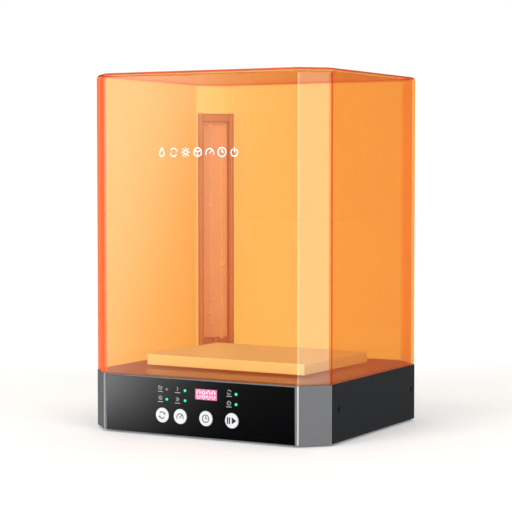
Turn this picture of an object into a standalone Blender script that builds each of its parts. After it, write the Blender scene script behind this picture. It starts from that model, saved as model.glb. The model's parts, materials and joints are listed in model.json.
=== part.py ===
"""Desktop lamp station that cures resin prints under ultraviolet light, and drives a wash tank.

A low base holds the electronics and a magnetic drive. A clear-tinted hood lifts straight off it.
Under the hood a platform turns in front of an upright lamp column in the rear left corner.
Metres, +Z up. The origin is on the floor, under the middle of the turntable, and the front is at -Y.
"""
import math

import bmesh
import bpy
from mathutils import Matrix, Vector

# Outline
WIDTH, DEPTH, HEIGHT = 0.2545, 0.231, 0.3406
CORNER = 0.023  # the cut-off of each upright corner, along each side
BEND = 0.0030  # radius of the upright bends
FOOT = 0.002
BASE_TOP = 0.0557
WALL = 0.003
GAP = 0.0003  # between pieces that touch
SINK = 0.0005  # how far a joined shape reaches into the part it is joined to
REACH = 0.020  # how far a cutter runs past a wall
SEAM_Y = -0.0925  # where the grey front frame meets the dark shell

# Front panel
PANEL_HALF, PANEL_HIGH, PANEL_THICK = 0.1012, 0.0522, 0.0015
FRONT = -DEPTH / 2
PANEL_BACK = FRONT + PANEL_THICK
BUTTON_XS = {"mode": -0.0385, "speed": -0.0189, "time": 0.0088, "start_pause": 0.0363}
BUTTON_Z, BUTTON_R, BUTTON_TRAVEL = 0.0199, 0.0070, 0.0006
BUTTON_PROUD = 0.0006
FLANGE_R, FLANGE_THICK = 0.0086, 0.0012
LAMP_XS, LAMP_ZS, LAMP_R = (-0.0337, -0.0138, 0.0407), (0.0444, 0.0350), 0.00125
DISPLAY_X, DISPLAY_Z, DISPLAY_WIDE, DISPLAY_HIGH = 0.0089, 0.0420, 0.0232, 0.0100
WINDOW_HALF, WINDOW_LOW, WINDOW_HIGH = 0.0485, 0.0100, 0.0515
BOARD_Y, BOARD_THICK, BOARD_HALF = -0.1070, 0.0016, 0.0545
BOARD_POST_XS, BOARD_POST_Z = (-0.0515, 0.0515), 0.0300
SWITCH_TIP = PANEL_BACK + GAP + FLANGE_THICK + GAP + BUTTON_TRAVEL + GAP

# Deck and turntable
DECK_THICK, ISLAND, HOOD_INSET, HOOD_WALL = 0.003, 0.0012, 0.0004, 0.003
DECK_TOP = BASE_TOP + ISLAND
DECK_UNDER = BASE_TOP - DECK_THICK
SLAB_WIDE, SLAB_DEEP, SLAB_THICK, SLAB_TOP = 0.1757, 0.1286, 0.0105, 0.0695
SLAB_TURN = math.radians(-1.8)  # where the turntable last stopped
HUB_HALF, HUB_LOW, HUB_HIGH = 0.026, 0.0594, 0.0670
SPINDLE_R, SPINDLE_FLANGE_R, SPINDLE_HIGH = 0.0040, 0.0120, 0.0660
BUSH_OUT_R, RUNNING = 0.0060, 0.00005
MAGNET_IN, MAGNET_OUT, MAGNET_THICK = 0.0133, 0.0227, 0.0028
THREAD_R, NUT_R, NUT_LOW = 0.0030, 0.0065, 0.0502

# Drive under the deck
CARRIER_R, CARRIER_LOW, CARRIER_HIGH = 0.026, 0.0445, 0.0495
CARRIER_HUB_R, CARRIER_HUB_LOW = 0.0070, 0.0405
SHAFT_R, SHAFT_LOW, SHAFT_HIGH = 0.0030, 0.0340, 0.0440
MOTOR_R, MOTOR_LOW, MOTOR_HIGH, MOTOR_BOSS_R, MOTOR_BOSS_HIGH = 0.018, 0.008, 0.0357, 0.006, 0.0395
BRACKET_HALF, BRACKET_WIDE, BRACKET_LOW, BRACKET_HIGH, BRACKET_POST = 0.042, 0.013, 0.036, 0.038, 0.037
MOTOR_SCREW = 0.0125

# Lamp column, in a frame turned to face the rear left corner: x along its face, y away from the turntable
COLUMN_TURN = math.radians(45)
COLUMN_SIDE, COLUMN_FRONT = -0.0066, 0.1310
COLUMN_WIDE, COLUMN_DEEP, COLUMN_HIGH = 0.0370, 0.0120, 0.3084
FLANGE_WIDE, WEB, TIP_STEPS = 0.0042, 0.0020, 6
LED_PITCH, LED_SIDE, LED_THICK = 0.0248, 0.0030, 0.0009
LED_COLUMNS = ((-0.0042, 0.2843), (0.0068, 0.2700))  # x from the column's middle, highest z
LED_ROWS = 9
LAMP_BOARD_HALF, LAMP_BOARD_THICK = 0.0128, 0.0016
LAMP_BOARD_LOW, LAMP_BOARD_HIGH = 0.0720, 0.2992
LAMP_SCREWS = ((-0.0062, 0.2958), (-0.0062, 0.2119), (0.0084, 0.1492), (-0.0062, 0.0976))
CAP_HIGH, CAP_BELOW = 0.0064, 0.0022
FOOT_BLOCK_HIGH = 0.0100
MOUNT_SCREWS, LEAD_HOLE = ((-0.0100, 0.0050), (0.0100, 0.0050)), (0.0, 0.0055)

# Inside and rear
PLATE_THICK, TAB_HALF, TAB_THICK, TAB_HIGH = 0.0020, 0.0070, 0.0015, 0.0400
PLATE_EDGE = WIDTH / 2 - WALL - GAP
LUG_IN, LUG_OUT = 0.1209, 0.1226  # the front frame's fixing lugs, from the middle
SIDE_SCREW_YS, SIDE_SCREW_Z = (-0.0787, 0.0836), 0.0320
POST_X, POST_Y, POST_R, BORE_R = 0.108, 0.070, 0.0040, 0.0018
PAD_X, PAD_Y, PAD_R = 0.095, 0.085, 0.0080
PLUGS = {"motor": (0.058, -0.027), "panel": (0.082, -0.048), "lamp": (0.082, 0.039), "power": (0.098, 0.039)}
MAIN_LOW, MAIN_HIGH, PLUG_TOP = (0.050, -0.055, 0.0103), (0.112, 0.045, 0.0119), 0.0200
INLET_X, SWITCH_X, REAR_Z = 0.052, 0.082, 0.0290
REAR = DEPTH / 2
INLET_R, SOCKET_R, SOCKET_DEEP = 0.0052, 0.0032, 0.0090
ROCKER_HALF_X, ROCKER_HALF_Z, ROCKER_TILT = 0.0075, 0.0045, math.radians(9)
VENTS, VENT_PITCH, VENT_WIDE, VENT_HIGH = 9, 0.0068, 0.0026, 0.0200
ROUND = 24  # sides of a round piece
SMALL = 12  # sides of a small round piece

AIMS = {"+X": (0, math.pi / 2, 0), "-X": (0, -math.pi / 2, 0), "+Y": (-math.pi / 2, 0, 0),
        "-Y": (math.pi / 2, 0, 0), "+Z": (0, 0, 0), "-Z": (math.pi, 0, 0)}
SIDES = ("left", "right")
SIGNS = {"left": -1, "right": 1}
ENDS = ("front", "rear")
PARTS, CUTTERS = "uv_curing_lamp", "cutters"
COLOURS = {  # base colour, roughness, metallic
    "dark_shell": ((0.035, 0.037, 0.040), 0.45, 0.2), "frame_grey": ((0.26, 0.27, 0.28), 0.38, 0.5),
    "panel_black": ((0.012, 0.013, 0.016), 0.08, 0.0), "button_white": ((0.85, 0.85, 0.85), 0.35, 0.0),
    "display_pink": ((0.85, 0.10, 0.35), 0.20, 0.0), "lamp_green": ((0.02, 0.60, 0.30), 0.25, 0.0),
    "lamp_off": ((0.35, 0.37, 0.38), 0.25, 0.0), "board_green": ((0.02, 0.20, 0.09), 0.50, 0.0),
    "black_plastic": ((0.02, 0.02, 0.02), 0.45, 0.0), "slab_white": ((0.86, 0.85, 0.80), 0.40, 0.0),
    "steel": ((0.60, 0.61, 0.62), 0.30, 1.0), "black_steel": ((0.03, 0.03, 0.03), 0.35, 0.9),
    "brass": ((0.80, 0.58, 0.25), 0.30, 1.0), "aluminium": ((0.75, 0.76, 0.77), 0.35, 1.0),
    "rubber": ((0.02, 0.02, 0.02), 0.85, 0.0), "magnet": ((0.70, 0.70, 0.72), 0.22, 1.0),
    "led_yellow": ((0.90, 0.80, 0.35), 0.30, 0.0), "hood_orange": ((1.00, 0.35, 0.04), 0.05, 0.0),
    "lead_grey": ((0.30, 0.30, 0.31), 0.60, 0.0),
}


# Helpers
def clear_scene():
    for thing in list(bpy.data.objects):
        bpy.data.objects.remove(thing, do_unlink=True)


def group(name):
    found = bpy.data.collections.new(name)
    bpy.context.scene.collection.children.link(found)
    return found


def make_materials():
    made = {}
    for name, (colour, roughness, metallic) in COLOURS.items():
        made[name] = bpy.data.materials.new(name)
        made[name].use_nodes = True
        shader = made[name].node_tree.nodes["Principled BSDF"]
        shader.inputs["Base Color"].default_value = (*colour, 1.0)
        shader.inputs["Roughness"].default_value = roughness
        shader.inputs["Metallic"].default_value = metallic
    return made


def place(name, bm, finish=None, at=(0, 0, 0), turn=(0, 0, 0), parent=None, smooth=False):
    """The bmesh as a named object: a part if it has a finish, else a cutter."""
    mesh = bpy.data.meshes.new(name)
    bm.to_mesh(mesh)
    bm.free()
    thing = bpy.data.objects.new(name, mesh)
    thing.location, thing.rotation_euler, thing.parent = at, turn, parent
    if finish:
        mesh.materials.append(finishes[finish])
        parts.objects.link(thing)
    else:
        thing.hide_render, thing.display_type = True, "WIRE"
        cutters.objects.link(thing)
    if smooth:
        mesh.shade_smooth()
        mesh.set_sharp_from_angle(angle=math.radians(35))
    return thing


def empty(name, at=(0, 0, 0), turn=0.0):
    thing = bpy.data.objects.new(name, None)
    thing.location, thing.rotation_euler = at, (0, 0, turn)
    parts.objects.link(thing)
    return thing


def boolean(thing, cutter, operation="DIFFERENCE"):
    step = thing.modifiers.new(cutter.name, "BOOLEAN")
    step.operation, step.solver, step.object = operation, "EXACT", cutter
    return thing


def add_block(bm, low, high):
    middle = [(a + b) / 2 for a, b in zip(low, high)]
    size = [b - a for a, b in zip(low, high)]
    matrix = Matrix.Translation(middle) @ Matrix.Diagonal((*size, 1))
    return bmesh.ops.create_cube(bm, size=1, matrix=matrix)["verts"]


def blocks(name, spans, finish=None, round_by=0.0, **where):
    """One solid box for each (low, high) pair."""
    bm = bmesh.new()
    for low, high in spans:
        add_block(bm, low, high)
    if round_by:
        bmesh.ops.bevel(bm, geom=bm.edges[:], offset=round_by, segments=2, profile=0.5, affect="EDGES")
    return place(name, bm, finish, **where)


def add_turned(bm, profile, matrix, sides, closed=False):
    """Turns (radius, height) points about Z. A closed profile is a ring's section."""
    fresh = bmesh.new()
    corners = [fresh.verts.new((radius, 0, height)) for radius, height in profile]
    edges = [fresh.edges.new(pair) for pair in zip(corners, corners[1:])]
    if closed:
        edges.append(fresh.edges.new((corners[-1], corners[0])))
    bmesh.ops.spin(fresh, geom=corners + edges, axis=(0, 0, 1), cent=(0, 0, 0), steps=sides,
                   angle=2 * math.pi, use_merge=True)
    bmesh.ops.remove_doubles(fresh, verts=fresh.verts, dist=1e-6)
    bmesh.ops.recalc_face_normals(fresh, faces=fresh.faces)
    fresh.transform(matrix)
    scratch = bpy.data.meshes.new("turned")
    fresh.to_mesh(scratch)
    fresh.free()
    bm.from_mesh(scratch)
    bpy.data.meshes.remove(scratch)


def tools(name, profile, places, axis, sides=SMALL, closed=False, **where):
    """The same turned shape at each place, its heights along axis, to cut from a part or join to it."""
    bm = bmesh.new()
    aim = Vector((0, 0, 1)).rotation_difference(Vector(axis)).to_matrix().to_4x4()
    for spot in places:
        add_turned(bm, profile, Matrix.Translation(spot) @ aim, sides, closed)
    return place(name, bm, **where)


def turned(name, profile, finish, steps=ROUND, closed=False, at=(0, 0, 0), turn=(0, 0, 0), parent=None):
    """One turned piece as a profile with a Screw modifier. The profile runs down its outer side."""
    bm = bmesh.new()
    corners = [bm.verts.new((radius, 0, height)) for radius, height in profile]
    for pair in zip(corners, corners[1:]):
        bm.edges.new(pair)
    if closed:
        bm.edges.new((corners[-1], corners[0]))
    thing = place(name, bm, finish, at=at, turn=turn, parent=parent)
    screw = thing.modifiers.new("turn", "SCREW")
    screw.steps = screw.render_steps = steps
    screw.use_merge_vertices, screw.merge_threshold = True, 0.00001
    screw.use_smooth_shade = False
    return thing


def screws(names, shape, places, axis, finish="steel", parent=None):
    """One turned fastener at each place, its head towards axis."""
    for name, spot in zip(names, places):
        turned(name, shape, finish, steps=SMALL, at=spot, turn=AIMS[axis], parent=parent)


def pin(radius, low, high):
    return ((0, high), (radius, high), (radius, low), (0, low))


def ring(inner, outer, low, high):
    return ((inner, high), (outer, high), (outer, low), (inner, low))


def screw_shape(head_r, head, shank_r, shank):
    """A pan-head screw whose head stands on height 0 and whose shank points down."""
    return ((0, head), (head_r * 0.75, head), (head_r, head * 0.6), (head_r, 0), (shank_r, 0),
            (shank_r, -shank), (0, -shank))


def prism(name, inset, low, high, finish=None, bend=BEND, segments=3, crown=0.0):
    """An eight-sided prism: the outline, moved in by inset. crown rounds its top edges."""
    bm = bmesh.new()
    add_block(bm, (inset - WIDTH / 2, inset - DEPTH / 2, low), (WIDTH / 2 - inset, DEPTH / 2 - inset, high))

    def upright():
        return [edge for edge in bm.edges if abs(edge.verts[0].co.z - edge.verts[1].co.z) > (high - low) / 2]

    corner = CORNER - inset * (2 - math.sqrt(2))
    bmesh.ops.bevel(bm, geom=upright(), offset=corner, segments=1, profile=0.5, affect="EDGES")
    if bend > inset:
        bmesh.ops.bevel(bm, geom=upright(), offset=(bend - inset) * math.tan(math.pi / 8),
                        segments=segments, profile=0.5, affect="EDGES")
    if crown:
        rim = [edge for edge in bm.edges if min(vert.co.z for vert in edge.verts) > high - 1e-6]
        bmesh.ops.bevel(bm, geom=rim, offset=crown, segments=3, profile=0.5, affect="EDGES")
    return place(name, bm, finish, smooth=bool(finish))


def column_spot(side, depth, height):
    """A world point for a place on the lamp column."""
    turned_by = Matrix.Rotation(COLUMN_TURN, 4, "Z")
    return turned_by @ Vector((COLUMN_SIDE + side, COLUMN_FRONT + depth, height))


# Base
def make_base_shell():
    shell = prism("base_shell", 0, FOOT, BASE_TOP, "dark_shell")
    boolean(shell, prism("cut_shell_inside", WALL, 0, BASE_TOP + WALL))
    front = blocks("cut_shell_front", [((-WIDTH, -DEPTH, 0), (WIDTH, SEAM_Y + GAP, HEIGHT))])
    boolean(shell, front)
    seat = ((0, 0.001), (0.0031, 0.001), (0.0031, -0.0017), (BORE_R, -0.0017), (BORE_R, -0.01), (0, -0.01))
    for side, label in ((-1, "left"), (1, "right")):
        spots = [(side * WIDTH / 2, y, SIDE_SCREW_Z) for y in SIDE_SCREW_YS]
        boolean(shell, tools(f"cut_seats_{label}", seat, spots, (side, 0, 0)))
    slots = []
    for i in range(VENTS):
        x = -0.085 + i * VENT_PITCH
        low, high = REAR_Z - VENT_HIGH / 2, REAR_Z + VENT_HIGH / 2
        slots.append(((x, REAR - 2 * WALL, low), (x + VENT_WIDE, REAR + WALL, high)))
    boolean(shell, blocks("cut_vents", slots))
    boolean(shell, tools("cut_inlet", pin(INLET_R + GAP, -0.01, 0.01),
                                [(INLET_X, REAR, REAR_Z)], (0, 1, 0), sides=ROUND))
    half_x, half_z = ROCKER_HALF_X + 0.0020 + GAP, ROCKER_HALF_Z + 0.0020 + GAP
    boolean(shell, blocks("cut_switch", [((SWITCH_X - half_x, REAR - 2 * WALL, REAR_Z - half_z),
                                          (SWITCH_X + half_x, REAR + WALL, REAR_Z + half_z))]))


def make_front_frame():
    frame = prism("front_frame", 0, FOOT, BASE_TOP, "frame_grey")
    boolean(frame, prism("cut_frame_inside", WALL, 0, BASE_TOP + WALL))
    boolean(frame, blocks("cut_frame_back", [((-WIDTH, SEAM_Y, 0), (WIDTH, DEPTH, HEIGHT))]))
    half = PANEL_HALF + GAP
    boolean(frame, blocks("cut_recess", [((-half, FRONT - WALL, 0),
                                          (half, PANEL_BACK + GAP, FOOT + PANEL_HIGH + GAP))]))
    boolean(frame, blocks("cut_frame_window", [((-WINDOW_HALF, FRONT - WALL, WINDOW_LOW),
                                                (WINDOW_HALF, FRONT + 2 * WALL, WINDOW_HIGH))]))
    spots = [(x, FRONT + WALL, BOARD_POST_Z) for x in BOARD_POST_XS]
    post = pin(0.0026, -0.0005, BOARD_Y - FRONT - WALL - GAP)
    boolean(frame, tools("join_board_posts", post, spots, (0, 1, 0)), "UNION")
    boolean(frame, tools("cut_board_posts", pin(0.0015, 0.0005, 0.010), spots, (0, 1, 0)))
    for side, sign in SIGNS.items():
        low, high, back = SIDE_SCREW_Z - 0.010, SIDE_SCREW_Z + 0.010, SIDE_SCREW_YS[0] + TAB_HALF
        for label, near, far, start in (("lug", LUG_IN, LUG_OUT, SEAM_Y - 0.003),
                                        ("lug_pad", LUG_OUT - SINK, PLATE_EDGE, back - 2 * TAB_HALF)):
            xs = sorted((sign * near, sign * far))
            lug = blocks(f"join_{label}_{side}", [((xs[0], start, low), (xs[1], back, high))])
            boolean(frame, lug, "UNION")
        hole = (sign * LUG_OUT, SIDE_SCREW_YS[0], SIDE_SCREW_Z)
        boolean(frame, tools(f"cut_lug_{side}", pin(BORE_R, -0.01, 0.01), [hole], (1, 0, 0)))


def make_front_panel():
    panel = blocks("front_panel", [((-PANEL_HALF, FRONT, FOOT),
                                    (PANEL_HALF, PANEL_BACK, FOOT + PANEL_HIGH))], "panel_black")
    reach = (-0.004, 0.004)
    spots = [(x, FRONT, BUTTON_Z) for x in BUTTON_XS.values()]
    boolean(panel, tools("cut_buttons", pin(BUTTON_R + 0.0002, *reach), spots, (0, 1, 0), sides=ROUND))
    spots = [(x, FRONT, z) for x in LAMP_XS for z in LAMP_ZS]
    boolean(panel, tools("cut_lamps", pin(LAMP_R + 0.0002, *reach), spots, (0, 1, 0)))
    half_x, half_z = DISPLAY_WIDE / 2 + GAP, DISPLAY_HIGH / 2 + GAP
    boolean(panel, blocks("cut_display", [((DISPLAY_X - half_x, FRONT - WALL, DISPLAY_Z - half_z),
                                           (DISPLAY_X + half_x, FRONT + WALL, DISPLAY_Z + half_z))]))


def make_buttons():
    front, flange = -BUTTON_PROUD, PANEL_THICK + GAP
    back = flange + FLANGE_THICK
    edge = 0.0004  # rounding of the cap's rim
    profile = ((0, -front), (BUTTON_R - edge, -front), (BUTTON_R, -front - edge), (BUTTON_R, -flange),
               (FLANGE_R, -flange), (FLANGE_R, -back), (0.0030, -back), (0.0030, -back - GAP),
               (0, -back - GAP))
    for name, x in BUTTON_XS.items():
        turned(f"{name}_button", profile, "button_white", at=(x, FRONT, BUTTON_Z), turn=(math.pi / 2, 0, 0))


def make_light_guides():
    """Each guide has two prongs that show through the panel, joined by a bar on the board."""
    prong = ((0, 0.0003), (LAMP_R * 0.7, 0.0002), (LAMP_R, 0), (LAMP_R, FRONT - BOARD_Y + GAP),
             (0, FRONT - BOARD_Y + GAP))
    for name, x in zip(("mode", "speed", "run"), LAMP_XS):
        bar = blocks(f"{name}_light_guide", [((x - LAMP_R, BOARD_Y - 0.0014, min(LAMP_ZS)),
                                              (x + LAMP_R, BOARD_Y - GAP, max(LAMP_ZS)))], "lamp_green")
        spots = [(x, FRONT, z) for z in LAMP_ZS]
        boolean(bar, tools(f"join_{name}_prongs", prong, spots, (0, -1, 0)), "UNION")


def make_panel_electronics():
    body_front = SWITCH_TIP + 0.0010
    switch = ((0, -SWITCH_TIP), (0.0015, -SWITCH_TIP), (0.0015, -body_front), (0.0030, -body_front),
              (0.0030, -BOARD_Y - SINK), (0, -BOARD_Y - SINK))
    half_x, half_z = DISPLAY_WIDE / 2, DISPLAY_HIGH / 2
    blocks("display_window", [((DISPLAY_X - half_x, FRONT, DISPLAY_Z - half_z),
                               (DISPLAY_X + half_x, PANEL_BACK, DISPLAY_Z + half_z))], "display_pink")
    blocks("display_module", [((DISPLAY_X - 0.0150, PANEL_BACK + GAP, DISPLAY_Z - 0.0070),
                               (DISPLAY_X + 0.0150, BOARD_Y - GAP, DISPLAY_Z + 0.0070))], "black_plastic")
    board = blocks("control_board", [((-BOARD_HALF, BOARD_Y, 0.0095),
                                      (BOARD_HALF, BOARD_Y + BOARD_THICK, 0.0520))], "board_green")
    spots = [(x, 0, BUTTON_Z) for x in BUTTON_XS.values()]
    boolean(board, tools("join_tactile_switches", switch, spots, (0, -1, 0)), "UNION")
    spots = [(x, BOARD_Y, BOARD_POST_Z) for x in BOARD_POST_XS]
    boolean(board, tools("cut_board_holes", pin(BORE_R, -0.005, 0.005), spots, (0, 1, 0)))
    spots = [(x, BOARD_Y + BOARD_THICK + GAP, z) for x, y, z in spots]
    screws([f"board_screw_{side}" for side in SIDES], screw_shape(0.0025, 0.0014, 0.0012, 0.0045), spots, "+Y")


def make_bottom_plate():
    plate = prism("bottom_plate", WALL + GAP, FOOT, FOOT + PLATE_THICK, "black_steel", bend=0)
    faces = (LUG_IN - GAP, PLATE_EDGE)  # the front tabs stand inside the frame's lugs
    for side, sign in SIGNS.items():
        for face, y, end in zip(faces, SIDE_SCREW_YS, ENDS):
            xs = sorted((sign * face, sign * (face - TAB_THICK)))
            tab = blocks(f"join_tab_{side}_{end}", [((xs[0], y - TAB_HALF, FOOT + GAP),
                                                     (xs[1], y + TAB_HALF, TAB_HIGH))])
            boolean(plate, tab, "UNION")
    spots = [(sign * face, y, SIDE_SCREW_Z) for sign in SIGNS.values() for face, y in zip(faces, SIDE_SCREW_YS)]
    boolean(plate, tools("cut_tab_holes", pin(BORE_R, -0.005, 0.005), spots, (1, 0, 0)))
    spots = [(x, y, FOOT) for x, y in post_places()]
    seat = ((0, PLATE_THICK + 0.001), (BORE_R, PLATE_THICK + 0.001), (BORE_R, 0.0012), (0.0031, 0.0012),
            (0.0031, -0.001), (0, -0.001))
    boolean(plate, tools("cut_plate_seats", seat, spots, (0, 0, 1)))
    corners = [(x, y, 0) for x, y in main_board_corners()]
    stand = ((0, MAIN_HIGH[2] + 0.0010), (0.0014, MAIN_HIGH[2] + 0.0010), (0.0014, MAIN_LOW[2] - GAP),
             (0.0030, MAIN_LOW[2] - GAP), (0.0030, FOOT + 0.0010), (0, FOOT + 0.0010))
    boolean(plate, tools("join_board_stands", stand, corners, (0, 0, 1)), "UNION")
    slots = [((-0.075 + i * 0.012, -0.030, 0), (-0.071 + i * 0.012, 0.030, 0.01)) for i in range(4)]
    boolean(plate, blocks("cut_plate_slots", slots))


def post_places():
    return [(x, y) for x in (-POST_X, POST_X) for y in (-POST_Y, POST_Y)]


def main_board_corners():
    return [(x, y) for x in (MAIN_LOW[0] + 0.004, MAIN_HIGH[0] - 0.004)
            for y in (MAIN_LOW[1] + 0.004, MAIN_HIGH[1] - 0.004)]


def make_screws_and_feet():
    flush = ((0, -GAP), (0.0028, -GAP), (0.0028, -0.0014), (0.0014, -0.0014), (0.0014, -0.0085), (0, -0.0085))
    for side, sign in SIGNS.items():
        spots = [(sign * WIDTH / 2, y, SIDE_SCREW_Z) for y in SIDE_SCREW_YS]
        screws([f"side_screw_{side}_{end}" for end in ENDS], flush, spots, "+X" if sign > 0 else "-X",
               "black_steel")
    sunk = ((0, -0.0002), (0.0028, -0.0002), (0.0028, -0.0009), (0.0014, -0.0009), (0.0014, -0.0120),
            (0, -0.0120))
    names = [f"bottom_screw_{side}_{end}" for side in SIDES for end in ENDS]
    screws(names, sunk, [(x, y, FOOT) for x, y in post_places()], "-Z", "black_steel")
    pad = ((0, FOOT - GAP), (PAD_R, FOOT - GAP), (PAD_R - 0.0004, 0), (0, 0))
    for side, sign in SIGNS.items():
        for y, end in zip((-PAD_Y, PAD_Y), ENDS):
            turned(f"foot_{side}_{end}", pad, "rubber", at=(sign * PAD_X, y, 0))


def make_deck():
    deck = prism("deck_plate", WALL + GAP, DECK_UNDER, BASE_TOP, "dark_shell", bend=0)
    island = prism("deck_island", HOOD_INSET + HOOD_WALL + 0.0005, BASE_TOP - GAP, DECK_TOP, bend=0)
    boolean(deck, island, "UNION")
    posts = [(x, y, 0) for x, y in post_places()]
    post = pin(POST_R, FOOT + PLATE_THICK + GAP, DECK_UNDER + 0.0010)
    boolean(deck, tools("join_deck_posts", post, posts, (0, 0, 1)), "UNION")
    boolean(deck, tools("cut_deck_posts", pin(BORE_R, 0, 0.0160), posts, (0, 0, 1)))
    boolean(deck, tools("cut_deck_spindle", pin(THREAD_R + GAP, -0.01, 0.01), [(0, 0, DECK_TOP)], (0, 0, 1)))
    spots = [(x, 0, DECK_UNDER) for x in (-BRACKET_POST, BRACKET_POST)]
    boolean(deck, tools("cut_deck_bracket", pin(BORE_R, -0.0010, 0.0018), spots, (0, 0, 1)))
    spots = [column_spot(*spot, DECK_TOP) for spot in MOUNT_SCREWS]
    boolean(deck, tools("cut_deck_mounts", pin(BORE_R, -0.01, 0.01), spots, (0, 0, 1)))
    spots = [column_spot(*LEAD_HOLE, DECK_TOP)]
    boolean(deck, tools("cut_deck_lead", pin(0.0024, -0.01, 0.01), spots, (0, 0, 1)))


# Hood
def make_hood():
    hood = prism("cover_hood", HOOD_INSET, BASE_TOP + GAP, HEIGHT, "hood_orange", bend=0.0045,
                 segments=3, crown=0.0040)
    boolean(hood, prism("cut_hood_inside", HOOD_INSET + HOOD_WALL, 0, HEIGHT - HOOD_WALL, bend=0))


# Turntable
def make_spindle():
    flange = DECK_TOP + GAP
    profile = ((0, SPINDLE_HIGH), (SPINDLE_R - 0.0005, SPINDLE_HIGH), (SPINDLE_R, SPINDLE_HIGH - 0.0005),
               (SPINDLE_R, flange + 0.0012), (SPINDLE_FLANGE_R, flange + 0.0012), (SPINDLE_FLANGE_R, flange),
               (THREAD_R, flange), (THREAD_R, NUT_LOW), (0, NUT_LOW))
    turned("turntable_spindle", profile, "steel")
    nut = ring(THREAD_R + 0.0001, NUT_R, NUT_LOW, DECK_UNDER - GAP)
    turned("spindle_nut", nut, "steel", closed=True)


def make_turntable():
    axis = empty("turntable_axis", turn=SLAB_TURN)
    hub = blocks("turntable_hub", [((-HUB_HALF, -HUB_HALF, HUB_LOW), (HUB_HALF, HUB_HALF, HUB_HIGH))],
                 "black_plastic", round_by=0.0008, parent=axis)
    boolean(hub, tools("cut_hub_bore", pin(BUSH_OUT_R + GAP, -0.02, 0.02), [(0, 0, HUB_LOW)],
                       (0, 0, 1), sides=ROUND, parent=axis))
    groove = ring(MAGNET_IN - GAP, MAGNET_OUT + GAP, HUB_LOW - 0.002, HUB_LOW + MAGNET_THICK + 2 * GAP)
    boolean(hub, tools("cut_hub_groove", groove, [(0, 0, 0)], (0, 0, 1), sides=ROUND, closed=True, parent=axis))
    turned("follower_magnet", ring(MAGNET_IN, MAGNET_OUT, HUB_LOW + GAP, HUB_LOW + MAGNET_THICK + GAP),
           "magnet", closed=True, parent=axis)
    turned("pivot_bush", ring(SPINDLE_R + RUNNING, BUSH_OUT_R, HUB_LOW + 0.0002, HUB_HIGH - 0.0006),
           "brass", closed=True, parent=axis)
    half_x, half_y = SLAB_WIDE / 2, SLAB_DEEP / 2
    slab = blocks("turntable_platform", [((-half_x, -half_y, SLAB_TOP - SLAB_THICK),
                                          (half_x, half_y, SLAB_TOP))],
                  "slab_white", round_by=0.0007, parent=axis)
    half = HUB_HALF + 0.0004
    boolean(slab, blocks("cut_slab_socket", [((-half, -half, 0), (half, half, HUB_HIGH + GAP))], parent=axis))


# Drive
def make_drive():
    bore = SHAFT_R + GAP
    dish = ((0, CARRIER_HIGH), (CARRIER_R, CARRIER_HIGH), (CARRIER_R, CARRIER_LOW),
            (CARRIER_HUB_R, CARRIER_LOW), (CARRIER_HUB_R, CARRIER_HUB_LOW), (bore, CARRIER_HUB_LOW),
            (bore, SHAFT_HIGH + GAP), (0, SHAFT_HIGH + GAP))
    carrier = turned("magnet_carrier", dish, "black_plastic")
    seat = CARRIER_HIGH - MAGNET_THICK - 2 * GAP
    groove = ring(MAGNET_IN - GAP, MAGNET_OUT + GAP, seat, CARRIER_HIGH + 0.002)
    boolean(carrier, tools("cut_carrier_groove", groove, [(0, 0, 0)], (0, 0, 1), sides=ROUND, closed=True))
    turned("drive_magnet", ring(MAGNET_IN, MAGNET_OUT, seat + GAP, CARRIER_HIGH - GAP), "magnet", closed=True)
    turned("motor_shaft", pin(SHAFT_R, SHAFT_LOW, SHAFT_HIGH), "steel", steps=SMALL)
    can = ((0, SHAFT_LOW - 0.001), (bore, SHAFT_LOW - 0.001), (bore, MOTOR_BOSS_HIGH),
           (MOTOR_BOSS_R, MOTOR_BOSS_HIGH), (MOTOR_BOSS_R, MOTOR_HIGH), (MOTOR_R, MOTOR_HIGH),
           (MOTOR_R, MOTOR_LOW), (0, MOTOR_LOW))
    motor = turned("drive_motor", can, "steel")
    screw_spots = [(x, 0, BRACKET_HIGH + GAP) for x in (-MOTOR_SCREW, MOTOR_SCREW)]
    boolean(motor, tools("cut_motor_holes", pin(BORE_R, -0.0080, 0.001), screw_spots, (0, 0, 1)))
    bracket = blocks("motor_bracket", [((-BRACKET_HALF, -BRACKET_WIDE, BRACKET_LOW),
                                        (BRACKET_HALF, BRACKET_WIDE, BRACKET_HIGH))], "aluminium")
    posts = [(x, 0, BRACKET_LOW) for x in (-BRACKET_POST, BRACKET_POST)]
    post = pin(0.0040, 0.0005, DECK_UNDER - GAP - BRACKET_LOW)
    boolean(bracket, tools("join_bracket_posts", post, posts, (0, 0, 1)), "UNION")
    boolean(bracket, tools("cut_bracket_middle", pin(MOTOR_BOSS_R + GAP, -0.01, 0.01),
                           [(0, 0, BRACKET_LOW)], (0, 0, 1), sides=ROUND))
    boolean(bracket, tools("cut_bracket_holes", pin(BORE_R, -0.005, 0.030),
                           posts + [(x, y, BRACKET_LOW) for x, y, z in screw_spots], (0, 0, 1)))
    heads = [(x, y, BRACKET_LOW - GAP) for x, y, z in posts]
    screws([f"bracket_screw_{side}" for side in SIDES], screw_shape(0.0028, 0.0017, 0.0014, 0.0180),
           heads, "-Z")
    screws([f"motor_screw_{side}" for side in SIDES], screw_shape(0.0027, 0.0016, 0.0014, 0.0060),
           screw_spots, "+Z")


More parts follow.
